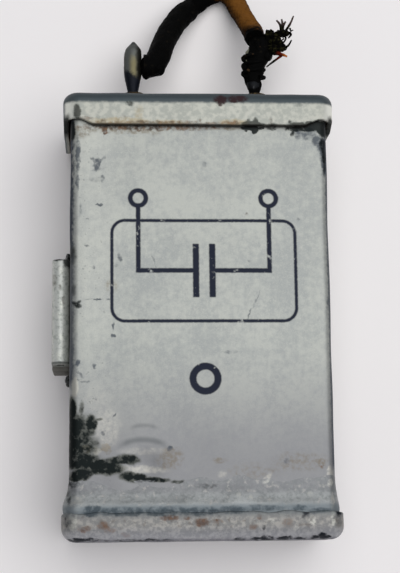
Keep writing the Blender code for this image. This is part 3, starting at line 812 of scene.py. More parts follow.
# %% Colours of wear
STEEL_BLACK = screen(13, 20, 21)
STEEL_BLUE = screen(60, 68, 78)
STEEL_OLIVE = screen(74, 77, 66)
RUST_DARK = screen(62, 36, 24)
RUST_PALE = screen(128, 88, 55)
GRIME_AND_GAP_SHADE = screen(26, 22, 19)
# A dark brown used for painted shade in the gap at the lid's edge, with some grime.
INK = screen(20, 27, 46)


def rust_colour(place):
    """Rust is never one colour: dark red-brown where it is thick, tan where it has only bled."""
    return mix(cloud(place, 1.6, 4.0).fade(0.38, 0.62), RUST_DARK, RUST_PALE)


def coarse_grain(place):
    """The noise that bites into wear: blots of half a millimetre, with specks down to a hair's breadth."""
    return cloud(place, 1.9, 5.0, 0.66)


def blots(place):
    """Smoother noise for dirt and bare steel, whose edges are soft."""
    return cloud(place, 1.5, 3.0, 0.55)


print("wear helpers ready")

# %% [markdown]
# ## The print
#
# A can like this carries its data in dark blue ink. Ours stays nameless: a connection diagram with the
# two terminals, their leads, the two plates and the case round them, and below it a ring such as an
# inspector stamps. Lettering would need text objects. These are only lines, bars and rings, so the ink is
# a mask of distances. The drawing is the same on both sides, so one side is drawn and folded over with
# the absolute value of x.

# %% Draw the ink
INK_EDGE = 0.10
PRINT_X = 0.4
DIAGRAM_Y = 5.0
TERMINAL = (8.0, 14.0)
CASE_HALF = (11.2, 6.2)
CASE_CORNER = 1.6
PEN = 0.28
PLATE = (0.38, 3.3)
PLATE_X = 1.0
STAMP_Y = -8.2
STAMP_RADIUS = 1.5


def bar(x, y, middle, half):
    """A filled bar."""
    across = abs(x - middle[0]).fade(half[0] + INK_EDGE, half[0] - INK_EDGE)
    return across * abs(y - middle[1]).fade(half[1] + INK_EDGE, half[1] - INK_EDGE)


def ring_line(across, up, radius, half):
    """A ring of twice the half width round the place where across and up are both 0."""
    distance = (across * across + up * up) ** 0.5
    return abs(distance - radius).fade(half + INK_EDGE, half - INK_EDGE)


def print_mask(x, y):
    """The whole print as one mask."""
    aside = abs(x - PRINT_X)
    terminal_x, terminal_y = TERMINAL
    lead_top = terminal_y - 0.95
    drop = (lead_top - DIAGRAM_Y) / 2
    ink = ring_line(aside - terminal_x, y - terminal_y, 0.95, PEN)
    ink = ink.most(bar(aside, y, (terminal_x, lead_top - drop), (PEN, drop)))
    reach = (terminal_x - PLATE_X) / 2
    ink = ink.most(bar(aside, y, (PLATE_X + reach, DIAGRAM_Y), (reach + PEN, PEN)))
    ink = ink.most(bar(aside, y, (PLATE_X, DIAGRAM_Y), PLATE))
    past_x = (aside - (CASE_HALF[0] - CASE_CORNER)).most(0.0)
    past_y = (abs(y - DIAGRAM_Y) - (CASE_HALF[1] - CASE_CORNER)).most(0.0)
    ink = ink.most(ring_line(past_x, past_y, CASE_CORNER, 0.19))
    return ink.most(ring_line(x - PRINT_X, y - STAMP_Y, STAMP_RADIUS, 0.42))


print("print of", 2 * CASE_HALF[0], "by", 2 * CASE_HALF[1], "mm")

# %% [markdown]
# ## Wear, painted light and shade of the tube
#
# The front of the tube is scuffed along its left edge, rubbed through to black steel at its lower left,
# darker at its lower end from dull bloom and painted shade, and stained with rust below the lid. All
# places are in millimetres.
# The other sides carry the wear that such a can has all round: rust that creeps from both caps, and
# specks.

# %% Where the tube is worn, and where light and shade are painted
SCUFFS = (
    (-14.95, 19.3, 0.26, 2.2, 0.95),
    (-15.0, 16.0, 0.22, 1.2, 0.8),
    (-14.6, 12.5, 0.20, 0.9, 0.5),
    (-12.6, 18.2, 0.30, 0.75, 1.1, -8),
    (-12.3, 18.6, 0.85, 0.20, 0.8, 40),
    (-13.0, 18.7, 0.60, 0.20, 0.7, -45),
    (-12.3, 17.6, 1.00, 0.16, 0.45, 10),
    (-12.7, 16.4, 0.80, 0.34, 0.5),
    (-12.0, 16.4, 0.22, 0.40, 0.8),
    (-12.3, 13.15, 0.45, 0.13, 0.95),
    (-13.85, 8.1, 0.36, 0.18, 0.85, -25),
    (-9.85, 6.6, 0.18, 0.52, 0.75, 15),
    (-13.0, 5.4, 0.20, 0.20, 0.6),
    (-10.3, 5.6, 0.26, 0.18, 0.55),
    (-12.5, 1.45, 0.50, 0.12, 0.95),
    (-11.1, 1.45, 0.26, 0.16, 1.05),
    (-13.6, 1.45, 0.6, 0.08, 0.55),
    (-10.65, -1.9, 0.16, 0.50, 0.9),
    (-10.65, -3.0, 0.28, 0.20, 0.95),
    (-12.95, -6.6, 0.24, 0.24, 1.1),
    (-14.9, -6.2, 0.25, 0.40, 0.95, -30),
    (-14.6, -7.6, 0.20, 0.8, 0.6, 35),
    (-14.0, -8.5, 0.55, 0.14, 0.65),
    (-10.55, -12.6, 0.34, 0.12, 0.75, 45),
    (-11.85, -14.65, 0.22, 0.28, 0.85),
    (-3.9, -16.5, 0.30, 0.28, 0.9),
    (0.5, 18.1, 0.35, 0.5, 0.5),
    (5.9, 6.2, 0.15, 0.20, 0.55),
    (3.4, -5.0, 0.9, 0.18, 0.5),
    (12.0, 11.4, 0.20, 0.25, 0.55),
    (12.2, 22.3, 0.40, 0.70, 0.8),
    (13.6, 22.2, 0.90, 0.70, 0.8),
    (14.6, 21.4, 0.60, 0.60, 1.0),
    (15.2, 20.9, 0.60, 0.80, 1.4),
    (15.4, 19.6, 0.42, 1.05, 1.4),
    (15.5, 18.3, 0.30, 1.0, 1.2),
    (15.5, 0.9, 0.22, 0.7, 0.9),
    (10.0, -18.1, 0.35, 0.40, 0.55),
    (0.5, -20.95, 1.50, 0.24, 0.7),
    (6.2, 0.4, 2.0, 0.10, 0.65, 64),
    (-5.7, 6.1, 0.95, 0.09, 0.6, -72),
)
RUBBED = (
    (-15.5, -11.9, 0.45, 1.40, 1.2),
    (-15.2, -14.0, 0.85, 1.60, 1.25),
    (-15.1, -16.2, 1.00, 1.40, 1.2),
    (-13.25, -13.5, 0.60, 0.90, 1.2),
    (-13.6, -14.4, 0.75, 0.60, 0.9),
    (-12.4, -13.0, 0.50, 0.16, 0.6),
    (-14.4, -11.8, 0.26, 0.90, 0.6),
    (-14.8, -14.8, 1.20, 2.20, 0.95),
    (-13.9, -16.2, 1.50, 1.20, 0.80),
    (-14.6, -17.9, 2.00, 0.90, 1.25),
    (-12.0, -18.6, 2.20, 0.75, 1.3, -8),
    (-14.6, -19.7, 1.90, 0.75, 1.25, 34),
    (-10.0, -17.9, 1.70, 0.46, 1.0, 8),
    (-8.9, -17.75, 1.20, 0.50, 1.1, -4),
    (-8.2, -19.9, 1.50, 0.52, 1.3, -8),
    (-5.9, -20.15, 1.70, 0.28, 1.05, -4),
    (-3.0, -20.45, 0.80, 0.20, 0.7),
)
# Rubbed bright tin and painted highlights: the light crescents over the dent and the bright spots on the
# side edges.
BRIGHT_AND_HIGHLIT = (
    (-7.3, -18.95, 2.70, 0.40, 0.8, -3),
    (-7.2, -16.8, 2.60, 0.42, 0.5),
    (-11.4, -14.0, 1.50, 2.3, 0.6),
    (-12.6, -10.6, 1.6, 1.6, 0.4),
    (-15.2, -9.1, 0.34, 0.95, 1.8),
    (15.15, -19.5, 0.36, 0.65, 1.0),
    (15.1, -20.7, 0.36, 0.50, 1.0),
    (7.5, -20.2, 0.30, 0.75, 0.8, -40),
    (2.3, -19.6, 0.50, 0.40, 0.6),
    (-12.6, -16.7, 0.45, 0.45, 1.0),
)
STAINED = (
    (-3.9, -17.7, 1.40, 1.20, 0.7, 20),
    (11.6, -18.2, 3.20, 1.10, 0.5),
    (6.0, -19.3, 3.00, 1.00, 0.4),
    (-13.9, -16.5, 0.50, 0.40, 1.3),
    (-11.45, -16.5, 0.55, 0.55, 1.0),
    (-10.8, 3.2, 0.80, 0.90, 0.5),
    (2.1, -17.9, 0.80, 0.36, 0.7),
    (14.2, -18.4, 0.45, 0.55, 0.9),
    (-14.6, 22.3, 1.10, 0.70, 0.8),
    (-5.7, 22.4, 0.80, 0.50, 0.6),
    (-9.0, 22.6, 4.20, 0.45, 0.75),
    (4.4, 22.9, 1.2, 0.22, 0.8),
)
RUSTED = (
    (-6.0, 23.0, 8.50, 0.45, 0.9),
    (-11.65, 22.6, 0.36, 0.50, 1.3),
    (-7.55, 22.8, 0.40, 0.32, 1.0),
    (-2.2, 22.95, 0.50, 0.18, 0.8),
    (-0.1, 22.95, 0.45, 0.18, 0.9),
    (14.2, -18.7, 0.25, 0.25, 0.9),
    (-5.6, -21.5, 0.2, 0.2, 0.8),
    (5.7, 12.0, 0.20, 0.20, 0.7),
)
# Bare black steel, and painted shadow under the lid's lifted corners near y 23 at both sides.
BLACKENED_AND_SHADED = (
    (6.3, 22.95, 0.95, 0.28, 1.7),
    (6.9, 22.70, 0.36, 0.42, 1.4),
    (7.6, 22.95, 0.50, 0.20, 1.1),
    (5.8, 22.75, 0.24, 0.30, 1.0),
    (9.0, 23.0, 0.60, 0.24, 0.9),
    (12.0, 22.90, 1.10, 0.32, 1.2),
    (13.7, 22.90, 1.00, 0.36, 1.4),
    (11.6, 22.40, 0.24, 0.50, 0.8),
    (15.5, 22.9, 0.75, 0.70, 2.4),
    (14.4, 23.35, 1.40, 0.50, 2.4),
    (15.35, 20.9, 0.40, 0.90, 1.0),
    (15.45, 19.4, 0.28, 1.10, 1.0),
    (15.5, 18.0, 0.20, 1.00, 0.8),
    (-15.8, 22.6, 0.50, 1.1, 1.5),
    (-15.7, 7.0, 0.60, 1.10, 0.7),
    (-15.4, 2.65, 0.36, 0.65, 0.6),
    (-15.0, 0.80, 0.60, 0.30, 1.0, -30),
    (-15.0, 0.95, 0.50, 0.24, 0.9, 30),
)
# Painted shade: dark arcs where the dent's ripples turn away from the light.
RIPPLE_SHADE_ARCS = (((-7.1, -21.5), 6.05, 0.30, 3.4, 0.55), ((-7.0, -18.2), 4.45, 0.22, 2.0, 0.36))
print(sum(len(marks) for marks in (SCUFFS, RUBBED, BRIGHT_AND_HIGHLIT, STAINED, RUSTED, BLACKENED_AND_SHADED)), "marks on the tube")

# %% Wear, painted light and shade of the tube
def ripple_shade_mask(x, y):
    """Painted shade: dark arcs over the dent's ripples, each part of a ring with a middle, radius, half
    width, reach and strength.
    """
    total = None
    for (middle_x, middle_y), radius, half, reach, strength in RIPPLE_SHADE_ARCS:
        away = ((x - middle_x) ** 2 + (y - middle_y) ** 2) ** 0.5
        arc = abs(away - radius).fade(2.0 * half, 0.0) * abs(x - middle_x).fade(reach, 0.5 * reach)
        arc = arc * y.fade(middle_y, middle_y + 1) * strength
        total = arc if total is None else total.most(arc)
    return total


def painted_edge_lines(x, y, z, grain):
    """Painted dark reflections where the front turns into the sides, broader and paler by the hook, ragged
    inside.
    """
    by_hook = abs(y + 0.2).fade(9.5, 6.5)
    left = (-1 * x - 1.0 * (grain - 0.5) + 0.1 * by_hook).fade(15.2, 15.75) * y.fade(-9.9, -8.0)
    right = (x - 0.5 * (grain - 0.5)).fade(15.35, 15.70) * y.fade(-19.4, -18.4)
    return (left * (1 - 0.15 * by_hook)).most(0.85 * right) * (z + 0.8 * (grain - 0.5)).fade(6.2, 7.1)


def body_wear(place):
    """Layers of wear and painted light and shade on the tube, from the dull bloom and the ink up to the
    rust.
    """
    x, y, z = split(place)
    front = z.fade(5.6, 7.2)
    grain = coarse_grain(place)
    torn = flat(wander(place, 1.1, 0.30))
    wavy_x, wavy_y = split(wander(place, 3.0, 0.05))[:2]
    ink = print_mask(wavy_x, wavy_y) * cloud(place, 1.1, 4.0).fade(0.74, 0.60) * front
    rubbed = hills(torn, RUBBED)
    dirt = blots(place)
    scuffs = bitten(hills(flat(wander(place, 2.2, 0.3)), SCUFFS), dirt, 3.0, 0.1, 1.2)
    specks = cloud(place, 1.7, 2.0).fade(0.68, 0.76) * (1 - front)
    peppered = cloud(place, 2.6, 3.0).fade(0.60, 0.74) * front * x.fade(-9.5, -13.5)
    bright_and_highlit = bitten(hills(torn, BRIGHT_AND_HIGHLIT), grain)
    stained = bitten(hills(torn, STAINED), grain, 5.0)
    rusted = bitten(hills(torn, RUSTED), grain, 3.6, 0.3, 1.3)
    blackened = bitten(hills(torn, BLACKENED_AND_SHADED), grain, 2.2, 0.15, 1.1)
    # Painted shadow on the tube just under the lid's edge, rising with its lifted corners, with a little
    # grime.
    under_lid_shade = (y - 0.8 * abs(x).fade(12.9, 14.8) + 0.3 * (grain - 0.5)).fade(22.85, 23.2)
    creep = bitten(y.fade(21.6, 23.4).most(y.fade(-19.3, -21.0)), grain, 2.2, 0.5, 0.9) * (1 - front)
    lap = abs(x).fade(2.75, 2.35) * z.fade(-6.8, -7.4)
    lap_line = (abs(x) + 0.25 * (grain - 0.5)).fade(2.0, 2.25) * lap
    return (
        # Painted shade and dull bloom: the front grows darker towards the lower end.
        (0.85 * y.fade(-2.0, -19.0), screen(125, 125, 128), 0.52, TIN_METALLIC),
        # Painted light: the upper left of the front is a little lighter.
        (0.18 * front * x.fade(-8.0, -13.0) * y.fade(-6.0, 2.0), TIN_BRIGHT, 0.45, TIN_METALLIC),
        (0.55 * lap, screen(150, 151, 152), 0.45, 0.75),
        (0.5 * front * stained, screen(118, 104, 80), 0.6, 0.4),
        (ink, INK, 0.6, 0.0),
        # Painted shade on the dent's ripples.
        (ripple_shade_mask(x, y) * front, screen(82, 86, 88), 0.5, 0.5),
        # Painted dark reflections along the front's side edges.
        (painted_edge_lines(x, y, z, grain), screen(42, 50, 62), 0.55, 0.25),
        # Rubbed bright tin and painted highlights.
        (0.5 * front * bright_and_highlit, screen(194, 190, 178), 0.42, TIN_METALLIC),
        (0.45 * peppered, STEEL_BLUE, 0.55, 0.35),
        (0.8 * front * scuffs, STEEL_BLUE, 0.55, 0.35),
        (0.5 * specks.most(lap_line), STEEL_BLUE, 0.6, 0.3),
        (0.75 * (front * rusted).most(creep), rust_colour(place), 0.8, 0.1),
        (0.7 * front * bitten(rubbed, grain, 1.6, 0.0, 0.9), STEEL_OLIVE, 0.6, 0.3),
        (0.95 * front * bitten(rubbed, dirt, 2.4, 0.35, 1.15), STEEL_BLACK, 0.55, 0.85),
        # Bare black steel, and painted shadow under the lid's corners.
        (0.95 * blackened * z.fade(4.5, 7.0), STEEL_BLACK, 0.55, 0.85),
        # Painted shadow under the lid's edge.
        (0.75 * front * under_lid_shade, GRIME_AND_GAP_SHADE, 0.8, 0.7),
    )


print("tube wear ready")

# %% [markdown]
# ## The tube
#
# The body is one sheet bent round a block, lapped and soldered down the middle of its back. A cube with
# its long edges bevelled is already that tube. Cutting it into small squares gives points to dent: a
# sheet this thin is never quite flat, and its shallow waves are what makes old metal look like metal.

# %% Blank shell
CORNER_SEGMENTS = 7
TOLERANCE = 0.01
SHEET_SQUARE = 0.9


def can_shell(half_x, half_z, corner, low, high):
    """A box along the can with its four long edges rounded: the blank for the tube and both caps."""
    bm = bmesh.new()
    bmesh.ops.create_cube(bm, size=2)
    bmesh.ops.scale(bm, vec=(half_x, (high - low) / 2, half_z), verts=bm.verts[:])
    bmesh.ops.translate(bm, vec=(0, (high + low) / 2, 0), verts=bm.verts[:])
    long_edges = [edge for edge in bm.edges if abs(edge.verts[0].co.y - edge.verts[1].co.y) > TOLERANCE]
    bevel(bm, long_edges, corner, CORNER_SEGMENTS)
    return bm


def bevel(bm, edges, offset, segments):
    """Rounds edges off."""
    bmesh.ops.bevel(
        bm,
        geom=edges,
        offset=offset,
        affect="EDGES",
        segments=segments,
        profile=0.5,
        material=-1,
        clamp_overlap=True,
    )


def slices(bm, direction, places):
    """Cuts the mesh with parallel planes, so that a flat sheet has points to shape."""
    direction = Vector(direction)
    for place in places:
        everything = bm.verts[:] + bm.edges[:] + bm.faces[:]
        bmesh.ops.bisect_plane(bm, geom=everything, plane_co=direction * place, plane_no=direction)


def steps(low, high, size):
    """Places about a size apart, strictly between low and high."""
    count = max(1, round((high - low) / size))
    return [low + (high - low) * i / count for i in range(1, count)]


def spaced(marks, size):
    """Places about a size apart between the first and the last mark, with the marks between among them."""
    places = []
    for low, high in zip(marks, marks[1:]):
        places += steps(low, high, size) + [high]
    return places[:-1]


def squares(bm, half_x, half_z, corner, heights):
    """Cuts a blank's walls into small squares: at the given heights, then along its sides."""
    slices(bm, (0, 1, 0), heights)
    slices(bm, (1, 0, 0), steps(corner - half_x, half_x - corner, SHEET_SQUARE))
    slices(bm, (0, 0, 1), steps(corner - half_z, half_z - corner, SHEET_SQUARE))


def open_end(bm, sign):
    """Takes away the flat end that faces up the can (1) or down it (-1)."""
    bm.normal_update()
    ends = [face for face in bm.faces if face.normal.y * sign > 0.99]
    bmesh.ops.delete(bm, geom=ends, context="FACES")


def buckle(bm, amount, scale, seed):
    """Pushes every point in or out by soft noise, as thin sheet gives, but not below the can's flat back."""
    bm.normal_update()
    offset = Vector((seed, 2 * seed, 3 * seed))
    for vert in bm.verts:
        vert.co += vert.normal * amount * noise.noise(vert.co * scale + offset)
        vert.co.z = max(vert.co.z, -CAP.z)


print("sheets are cut into squares of", SHEET_SQUARE, "mm")

# %% Make the tube
BODY_EDGE = 1.1
BODY_SHEET = 0.5
LAP_HALF = 2.25
LAP_ENDS = (-19.8, 22.8)
LAP_PROUD = -on_can(body_low).z - BODY.z
LAP_SLOPE = 0.12
DENT_MIDDLE = Vector((-7.0, -18.6))
DENT_RADIUS = 4.4
DENT_DEPTH = 0.35


def dent(bm):
    """A shallow dent in the lower left of the front, with a ripple round it."""
    for vert in bm.verts:
        if vert.co.z > 0:
            away = (Vector((vert.co.x, vert.co.y)) - DENT_MIDDLE).length / DENT_RADIUS
            vert.co.z -= DENT_DEPTH * math.cos(3.6 * away) * math.exp(-1.6 * away * away)


def raise_lap(bm):
    """Lifts the strip down the middle of the back, where one edge of the sheet lies over the other."""
    bm.normal_update()
    strip = []
    for face in bm.faces:
        middle = face.calc_center_median()
        along = LAP_ENDS[0] < middle.y < LAP_ENDS[1]
        if face.normal.z < -0.9 and abs(middle.x) < LAP_HALF and along:
            strip.append(face)
    bmesh.ops.inset_region(bm, faces=strip, thickness=LAP_SLOPE, depth=LAP_PROUD)


def make_tube():
    """The tube with its dent and its lap, open at both ends."""
    low, high = -BODY.y, BODY.y
    bm = can_shell(BODY.x, BODY.z, BODY_EDGE, low, high)
    open_end(bm, 1)
    open_end(bm, -1)
    slices(bm, (0, 1, 0), spaced((low, *LAP_ENDS, high), SHEET_SQUARE))
    flat_end = BODY.x - BODY_EDGE
    slices(bm, (1, 0, 0), spaced((-flat_end, -LAP_HALF, LAP_HALF, flat_end), SHEET_SQUARE))
    slices(bm, (0, 0, 1), steps(BODY_EDGE - BODY.z, BODY.z - BODY_EDGE, SHEET_SQUARE))
    buckle(bm, amount=0.10, scale=0.14, seed=4.0)
    dent(bm)
    raise_lap(bm)
    bmesh.ops.solidify(bm, geom=bm.faces[:], thickness=BODY_SHEET)
    return bm


piece("tin_tube", make_tube(), tin_finish("tin_tube", body_wear), "tin_plate", "can_body")

# %% [markdown]
# ## The lid
#
# The lid is drawn over a die, so its top edge is round and its skirt is a little short at the corners. It
# is the same blank as the tube, with one end opened and the other bevelled. The skirt's points are lifted
# where they near a corner, the sheet gets its thickness, and a Boolean cuts the two holes for the
# terminals last.

# %% Join and cut closed shapes
ROUND_SEGMENTS = 48


def combine(bm, other, operation):
    """Joins or cuts one closed bmesh with another, and gives the result as a new one."""
    blanks = []
    for shape in (bm, other):
        mesh = bpy.data.meshes.new("blank")
        shape.to_mesh(mesh)
        shape.free()
        blanks.append(add_object("blank", mesh))
    modifier = blanks[0].modifiers.new("combine", "BOOLEAN")
    modifier.operation = operation
    modifier.object = blanks[1]
    joined = blanks[0].evaluated_get(bpy.context.evaluated_depsgraph_get())
    result = bmesh.new()
    result.from_mesh(joined.to_mesh())
    joined.to_mesh_clear()
    for blank in blanks:
        bpy.data.objects.remove(blank)
    return result


def rod(middle, radius, length, axis):
    """A closed round rod along an axis, to cut a hole with."""
    bm = bmesh.new()
    ends = {"radius1": radius, "radius2": radius, "depth": length}
    bmesh.ops.create_cone(bm, cap_ends=True, segments=ROUND_SEGMENTS, **ends)
    turn = Vector((0, 0, 1)).rotation_difference(Vector(axis)).to_matrix()
    bmesh.ops.rotate(bm, cent=(0, 0, 0), matrix=turn, verts=bm.verts[:])
    bmesh.ops.translate(bm, vec=middle, verts=bm.verts[:])
    return bm


print("closed shapes can be joined and cut")

# %% Wear, painted light and shade of the lid
LID_ROUND = 1.3
LID_RUSTED = (
    (-5.5, 23.2, 9.00, 0.34, 0.9),
    (-11.8, 23.5, 0.40, 0.45, 0.9),
    (-9.5, 23.6, 0.90, 0.55, 0.6),
    (-6.5, 23.3, 0.50, 0.26, 0.9),
    (-2.8, 23.3, 0.80, 0.18, 0.9),
    (-0.05, 23.6, 0.28, 0.26, 0.7),
    (4.0, 23.4, 1.00, 0.24, 1.0),
    (8.8, 23.6, 0.35, 0.45, 0.7),
    (-14.0, 23.8, 1.00, 0.26, 0.7),
)
LID_AMBER = (
    (-10.0, 23.4, 3.6, 0.50, 1.0),
    (-7.5, 24.6, 0.6, 0.9, 0.6),
    (-4.0, 23.3, 2.0, 0.35, 0.9),
    (4.2, 23.4, 1.6, 0.40, 1.0),
)
RIM_RUST = ((2.6, 26.3, 0.70, 0.55, 1.2), (4.7, 26.45, 1.10, 0.45, 1.2), (2.6, 25.8, 0.3, 0.3, 0.9))
LID_SMUDGED = (
    (-15.05, 24.7, 0.45, 0.75, 1.2),
    (-8.6, 25.8, 0.50, 0.36, 0.9),
    (6.4, 23.30, 1.00, 0.28, 1.7),
    (6.9, 23.60, 0.28, 0.50, 1.2),
    (6.1, 23.60, 0.24, 0.36, 1.0),
    (7.5, 23.25, 0.50, 0.20, 1.1),
    (9.0, 23.2, 0.55, 0.20, 0.9),
    (12.4, 23.25, 1.20, 0.22, 1.3),
    (13.8, 23.35, 0.90, 0.26, 1.4),
    (11.3, 23.40, 0.28, 0.36, 0.9),
    (12.3, 25.7, 0.5, 0.2, 0.5),
    (-12.4, 24.0, 0.3, 0.25, 0.6),
)


def lid_wear(place):
    """Painted dark reflection on the rounded rim, a creamy skirt with painted light on its bends, rust that
    bleeds from the lower edge, and painted shade in the corners.
    """
    x, y, z = split(place)
    grain = coarse_grain(place)
    torn = flat(wander(place, 1.1, 0.25))
    front = z.fade(3.0, 6.0)
    inset = (CAP.x - abs(x)).least(CAP.z - abs(z))
    crown = y.fade(26.8, 27.2)
    # Painted reflection: the rounded top edge is painted dark, as if it mirrored the dim room.
    rim = (y + 0.3 * (grain - 0.5)).fade(25.70, 26.14) * (inset + 2.0 * (grain - 0.5)).fade(2.4, 1.0)
    clouds = blots(place).fade(0.40, 0.62)
    by_lug = ((abs(x) - LUG_X) ** 2 + z**2).fade(16.0, 5.0)
    grimy = bitten(by_lug, grain, 3.0, 0.2, 1.2) * crown
    # Painted shade: a dark line down the lid's left side.
    side = (-1 * x + 0.2 * (grain - 0.5)).fade(16.4, 16.7)
    # Painted light: the skirt's rounded front corners are lightened against their shade.
    bend = abs(x).fade(14.9, 16.2) * z.fade(2.0, 6.0)
    # Painted shade: black on the lid's side skirt near the front corners, under the overhang.
    corner = abs(x).fade(15.7, 16.3) * z.fade(1.0, 5.0) * (y + 0.8 * (grain - 0.5)).fade(24.8, 23.9)
    # Painted shade along the lid's lower front edge, over the gap to the tube.
    edge_shade_line = (y + 0.3 * (grain - 0.5)).fade(LID_EDGE + 0.22, LID_EDGE) * z.fade(2.0, 6.0)
    creep = bitten(y.fade(24.6, 22.8), grain, 2.2, 0.5, 0.95) * y.fade(23.12, 23.3) * (1 - front)
    amber = bitten(hills(torn, LID_AMBER), grain, 3.0) * front
    rusted = bitten(hills(torn, LID_RUSTED), grain, 3.6, 0.3, 1.3) * front
    rim_rust = bitten(hills(torn, RIM_RUST), grain) * front
    smudged = bitten(hills(torn, LID_SMUDGED), grain, 2.2) * front
    soot = mix(smudged.fade(0.4, 1.0), screen(74, 82, 80), screen(34, 37, 33))
    return (
        (0.85, mix(clouds, screen(158, 160, 152), screen(180, 180, 170)), 0.5, 0.5),
        (0.9 * bend, screen(232, 232, 222), 0.5, 0.2),
        (0.5 * amber, screen(168, 148, 104), 0.55, 0.4),
        (0.8 * side, screen(72, 82, 92), 0.55, 0.4),
        (0.5 * clouds * crown, screen(138, 141, 138), 0.45, 0.6),
        (0.6 * grimy, screen(74, 62, 50), 0.7, 0.2),
        (0.96 * rim, screen(62, 72, 77), 0.5, 0.45),
        (0.6 * rusted.most(creep), rust_colour(place), 0.8, 0.1),
        (0.85 * smudged, soot, 0.5, 0.7),
        (0.75 * edge_shade_line, GRIME_AND_GAP_SHADE, 0.8, 0.7),
        (0.9 * rim_rust, screen(52, 28, 30), 0.8, 0.1),
        (0.95 * corner, STEEL_BLACK, 0.6, 0.85),
    )


print(len(LID_RUSTED) + len(LID_AMBER) + len(RIM_RUST) + len(LID_SMUDGED), "marks on the lid")

# %% Make the lid
CAP_CORNER = 2.0
CAP_SHEET = 0.6
CORNER_LIFT = 0.8
CORNER_RUN = 1.9
BUSH_HOLE = 2.05
SHARP_ANGLE = math.radians(60)
RIM_SEGMENTS = 2


def lift_corners(bm):
    """Draws the skirt up towards the four corners."""
    for vert in bm.verts:
        near_x = soft_step((abs(vert.co.x) - CAP.x + CAP_CORNER + CORNER_RUN) / CORNER_RUN)
        near_z = soft_step((abs(vert.co.z) - CAP.z + CAP_CORNER + CORNER_RUN) / CORNER_RUN)
        down = soft_step((TOP - LID_ROUND - vert.co.y) / (TOP - LID_ROUND - LID_EDGE))
        vert.co.y += CORNER_LIFT * near_x * near_z * down


def round_rims(bm, offset):
    """Breaks the sharp edges left where a sheet got its thickness."""
    bm.normal_update()
    sharp = [edge for edge in bm.edges if edge.is_manifold and edge.calc_face_angle() > SHARP_ANGLE]
    bevel(bm, sharp, offset, RIM_SEGMENTS)


def make_lid():
    """A drawn cap with short corners and a hole for each terminal."""
    bm = can_shell(CAP.x, CAP.z, CAP_CORNER, LID_EDGE, TOP)
    open_end(bm, -1)
    rim = [edge for edge in bm.edges if min(vert.co.y for vert in edge.verts) > TOP - TOLERANCE]
    bevel(bm, rim, LID_ROUND, CORNER_SEGMENTS)
    squares(bm, CAP.x, CAP.z, CAP_CORNER, steps(LID_EDGE, TOP - LID_ROUND, size=0.5))
    lift_corners(bm)
    buckle(bm, amount=0.10, scale=0.25, seed=9.0)
    bmesh.ops.solidify(bm, geom=bm.faces[:], thickness=CAP_SHEET)
    round_rims(bm, offset=0.14)
    for side in (-1, 1):
        bm = combine(bm, rod((side * LUG_X, TOP, 0), BUSH_HOLE, 4.0, (0, 1, 0)), "DIFFERENCE")
    return bm


piece("drawn_lid", make_lid(), tin_finish("tin_lid", lid_wear), "tin_plate", "top_lid")

# %% [markdown]
# ## The bottom cap and its solder
#
# The bottom cap is the same kind of drawing, shallower and rounder, with a rim that is not quite
# straight. A fillet of solder climbs from it up the tube. The fillet is the tube's own section twice: one
# copy sinks into the tube, the other spreads downwards along a hollow curve, and bridges close both ends.
# A bevel could not swell and roll in like that. The crease where cap and solder meet holds painted shade and
# some dirt.

# %% Wear, painted light and shade of the bottom cap
BASE_ROUND = 1.7
BASE_RUSTED = (
    (-4.1, -24.65, 0.95, 0.32, 1.25),
    (-2.0, -24.65, 0.42, 0.26, 0.9),
    (-0.3, -25.2, 0.80, 0.50, 1.1),
    (1.5, -25.1, 0.60, 0.34, 0.8),
    (-11.8, -25.5, 0.65, 0.50, 0.95),
    (-11.1, -26.0, 0.80, 0.38, 0.75),
    (-14.0, -25.9, 0.70, 0.38, 0.9),
    (-9.2, -26.6, 0.52, 0.34, 0.7),
    (6.5, -24.7, 0.38, 0.38, 0.7),
    (5.7, -25.8, 0.60, 0.34, 0.9),
    (9.9, -25.4, 0.65, 0.65, 0.65),
)
BASE_BLACKENED = (
    (6.2, -27.2, 0.60, 0.20, 1.4),
    (7.2, -27.1, 0.55, 0.28, 1.5),
    (7.9, -27.2, 0.40, 0.16, 1.2),
    (9.4, -27.15, 0.70, 0.20, 1.3),
    (10.2, -27.05, 0.30, 0.22, 1.0),
    (11.3, -27.15, 0.70, 0.18, 1.3),
    (13.2, -27.05, 0.60, 0.20, 1.3),
    (14.0, -26.9, 0.45, 0.34, 1.5),
    (14.6, -27.0, 0.36, 0.20, 1.2),
    (4.2, -27.2, 0.80, 0.14, 0.9),
    (7.0, -25.85, 0.26, 0.28, 0.7),
    (-14.2, -27.1, 2.3, 0.20, 1.2),
    (-8.0, -27.2, 4.0, 0.14, 0.8),
    (16.0, -24.2, 0.34, 0.45, 1.2),
    (-16.1, -25.0, 0.24, 0.80, 0.6),
    (12.0, -24.5, 0.50, 0.60, 0.65),
)
# Dark blots in the crease: dirt and painted shade.
CREASE_DIRT_AND_SHADE = (
    (-13.1, -23.75, 0.95, 0.60, 1.3),
    (-9.5, -23.9, 3.40, 0.50, 0.9),
    (-4.5, -23.9, 3.00, 0.50, 0.9),
    (-0.5, -23.95, 2.40, 0.46, 0.95),
    (3.3, -23.8, 1.70, 0.46, 0.85),
    (7.0, -23.6, 2.20, 0.34, 0.7),
    (11.4, -23.6, 0.90, 0.34, 0.8),
    (13.8, -24.0, 1.20, 0.34, 0.8),
)
# Rubbed bright tin, and painted highlights on the cap's corner edges.
BASE_BRIGHT_AND_HIGHLIT = (
    (12.8, -25.0, 0.40, 0.65, 0.9, 10),
    (-15.3, -24.6, 0.45, 1.30, 1.0),
    (15.3, -24.9, 0.26, 1.0, 1.0),
    (8.0, -25.1, 0.6, 0.3, 0.7),
    (10.9, -26.0, 0.4, 0.3, 0.7),
)


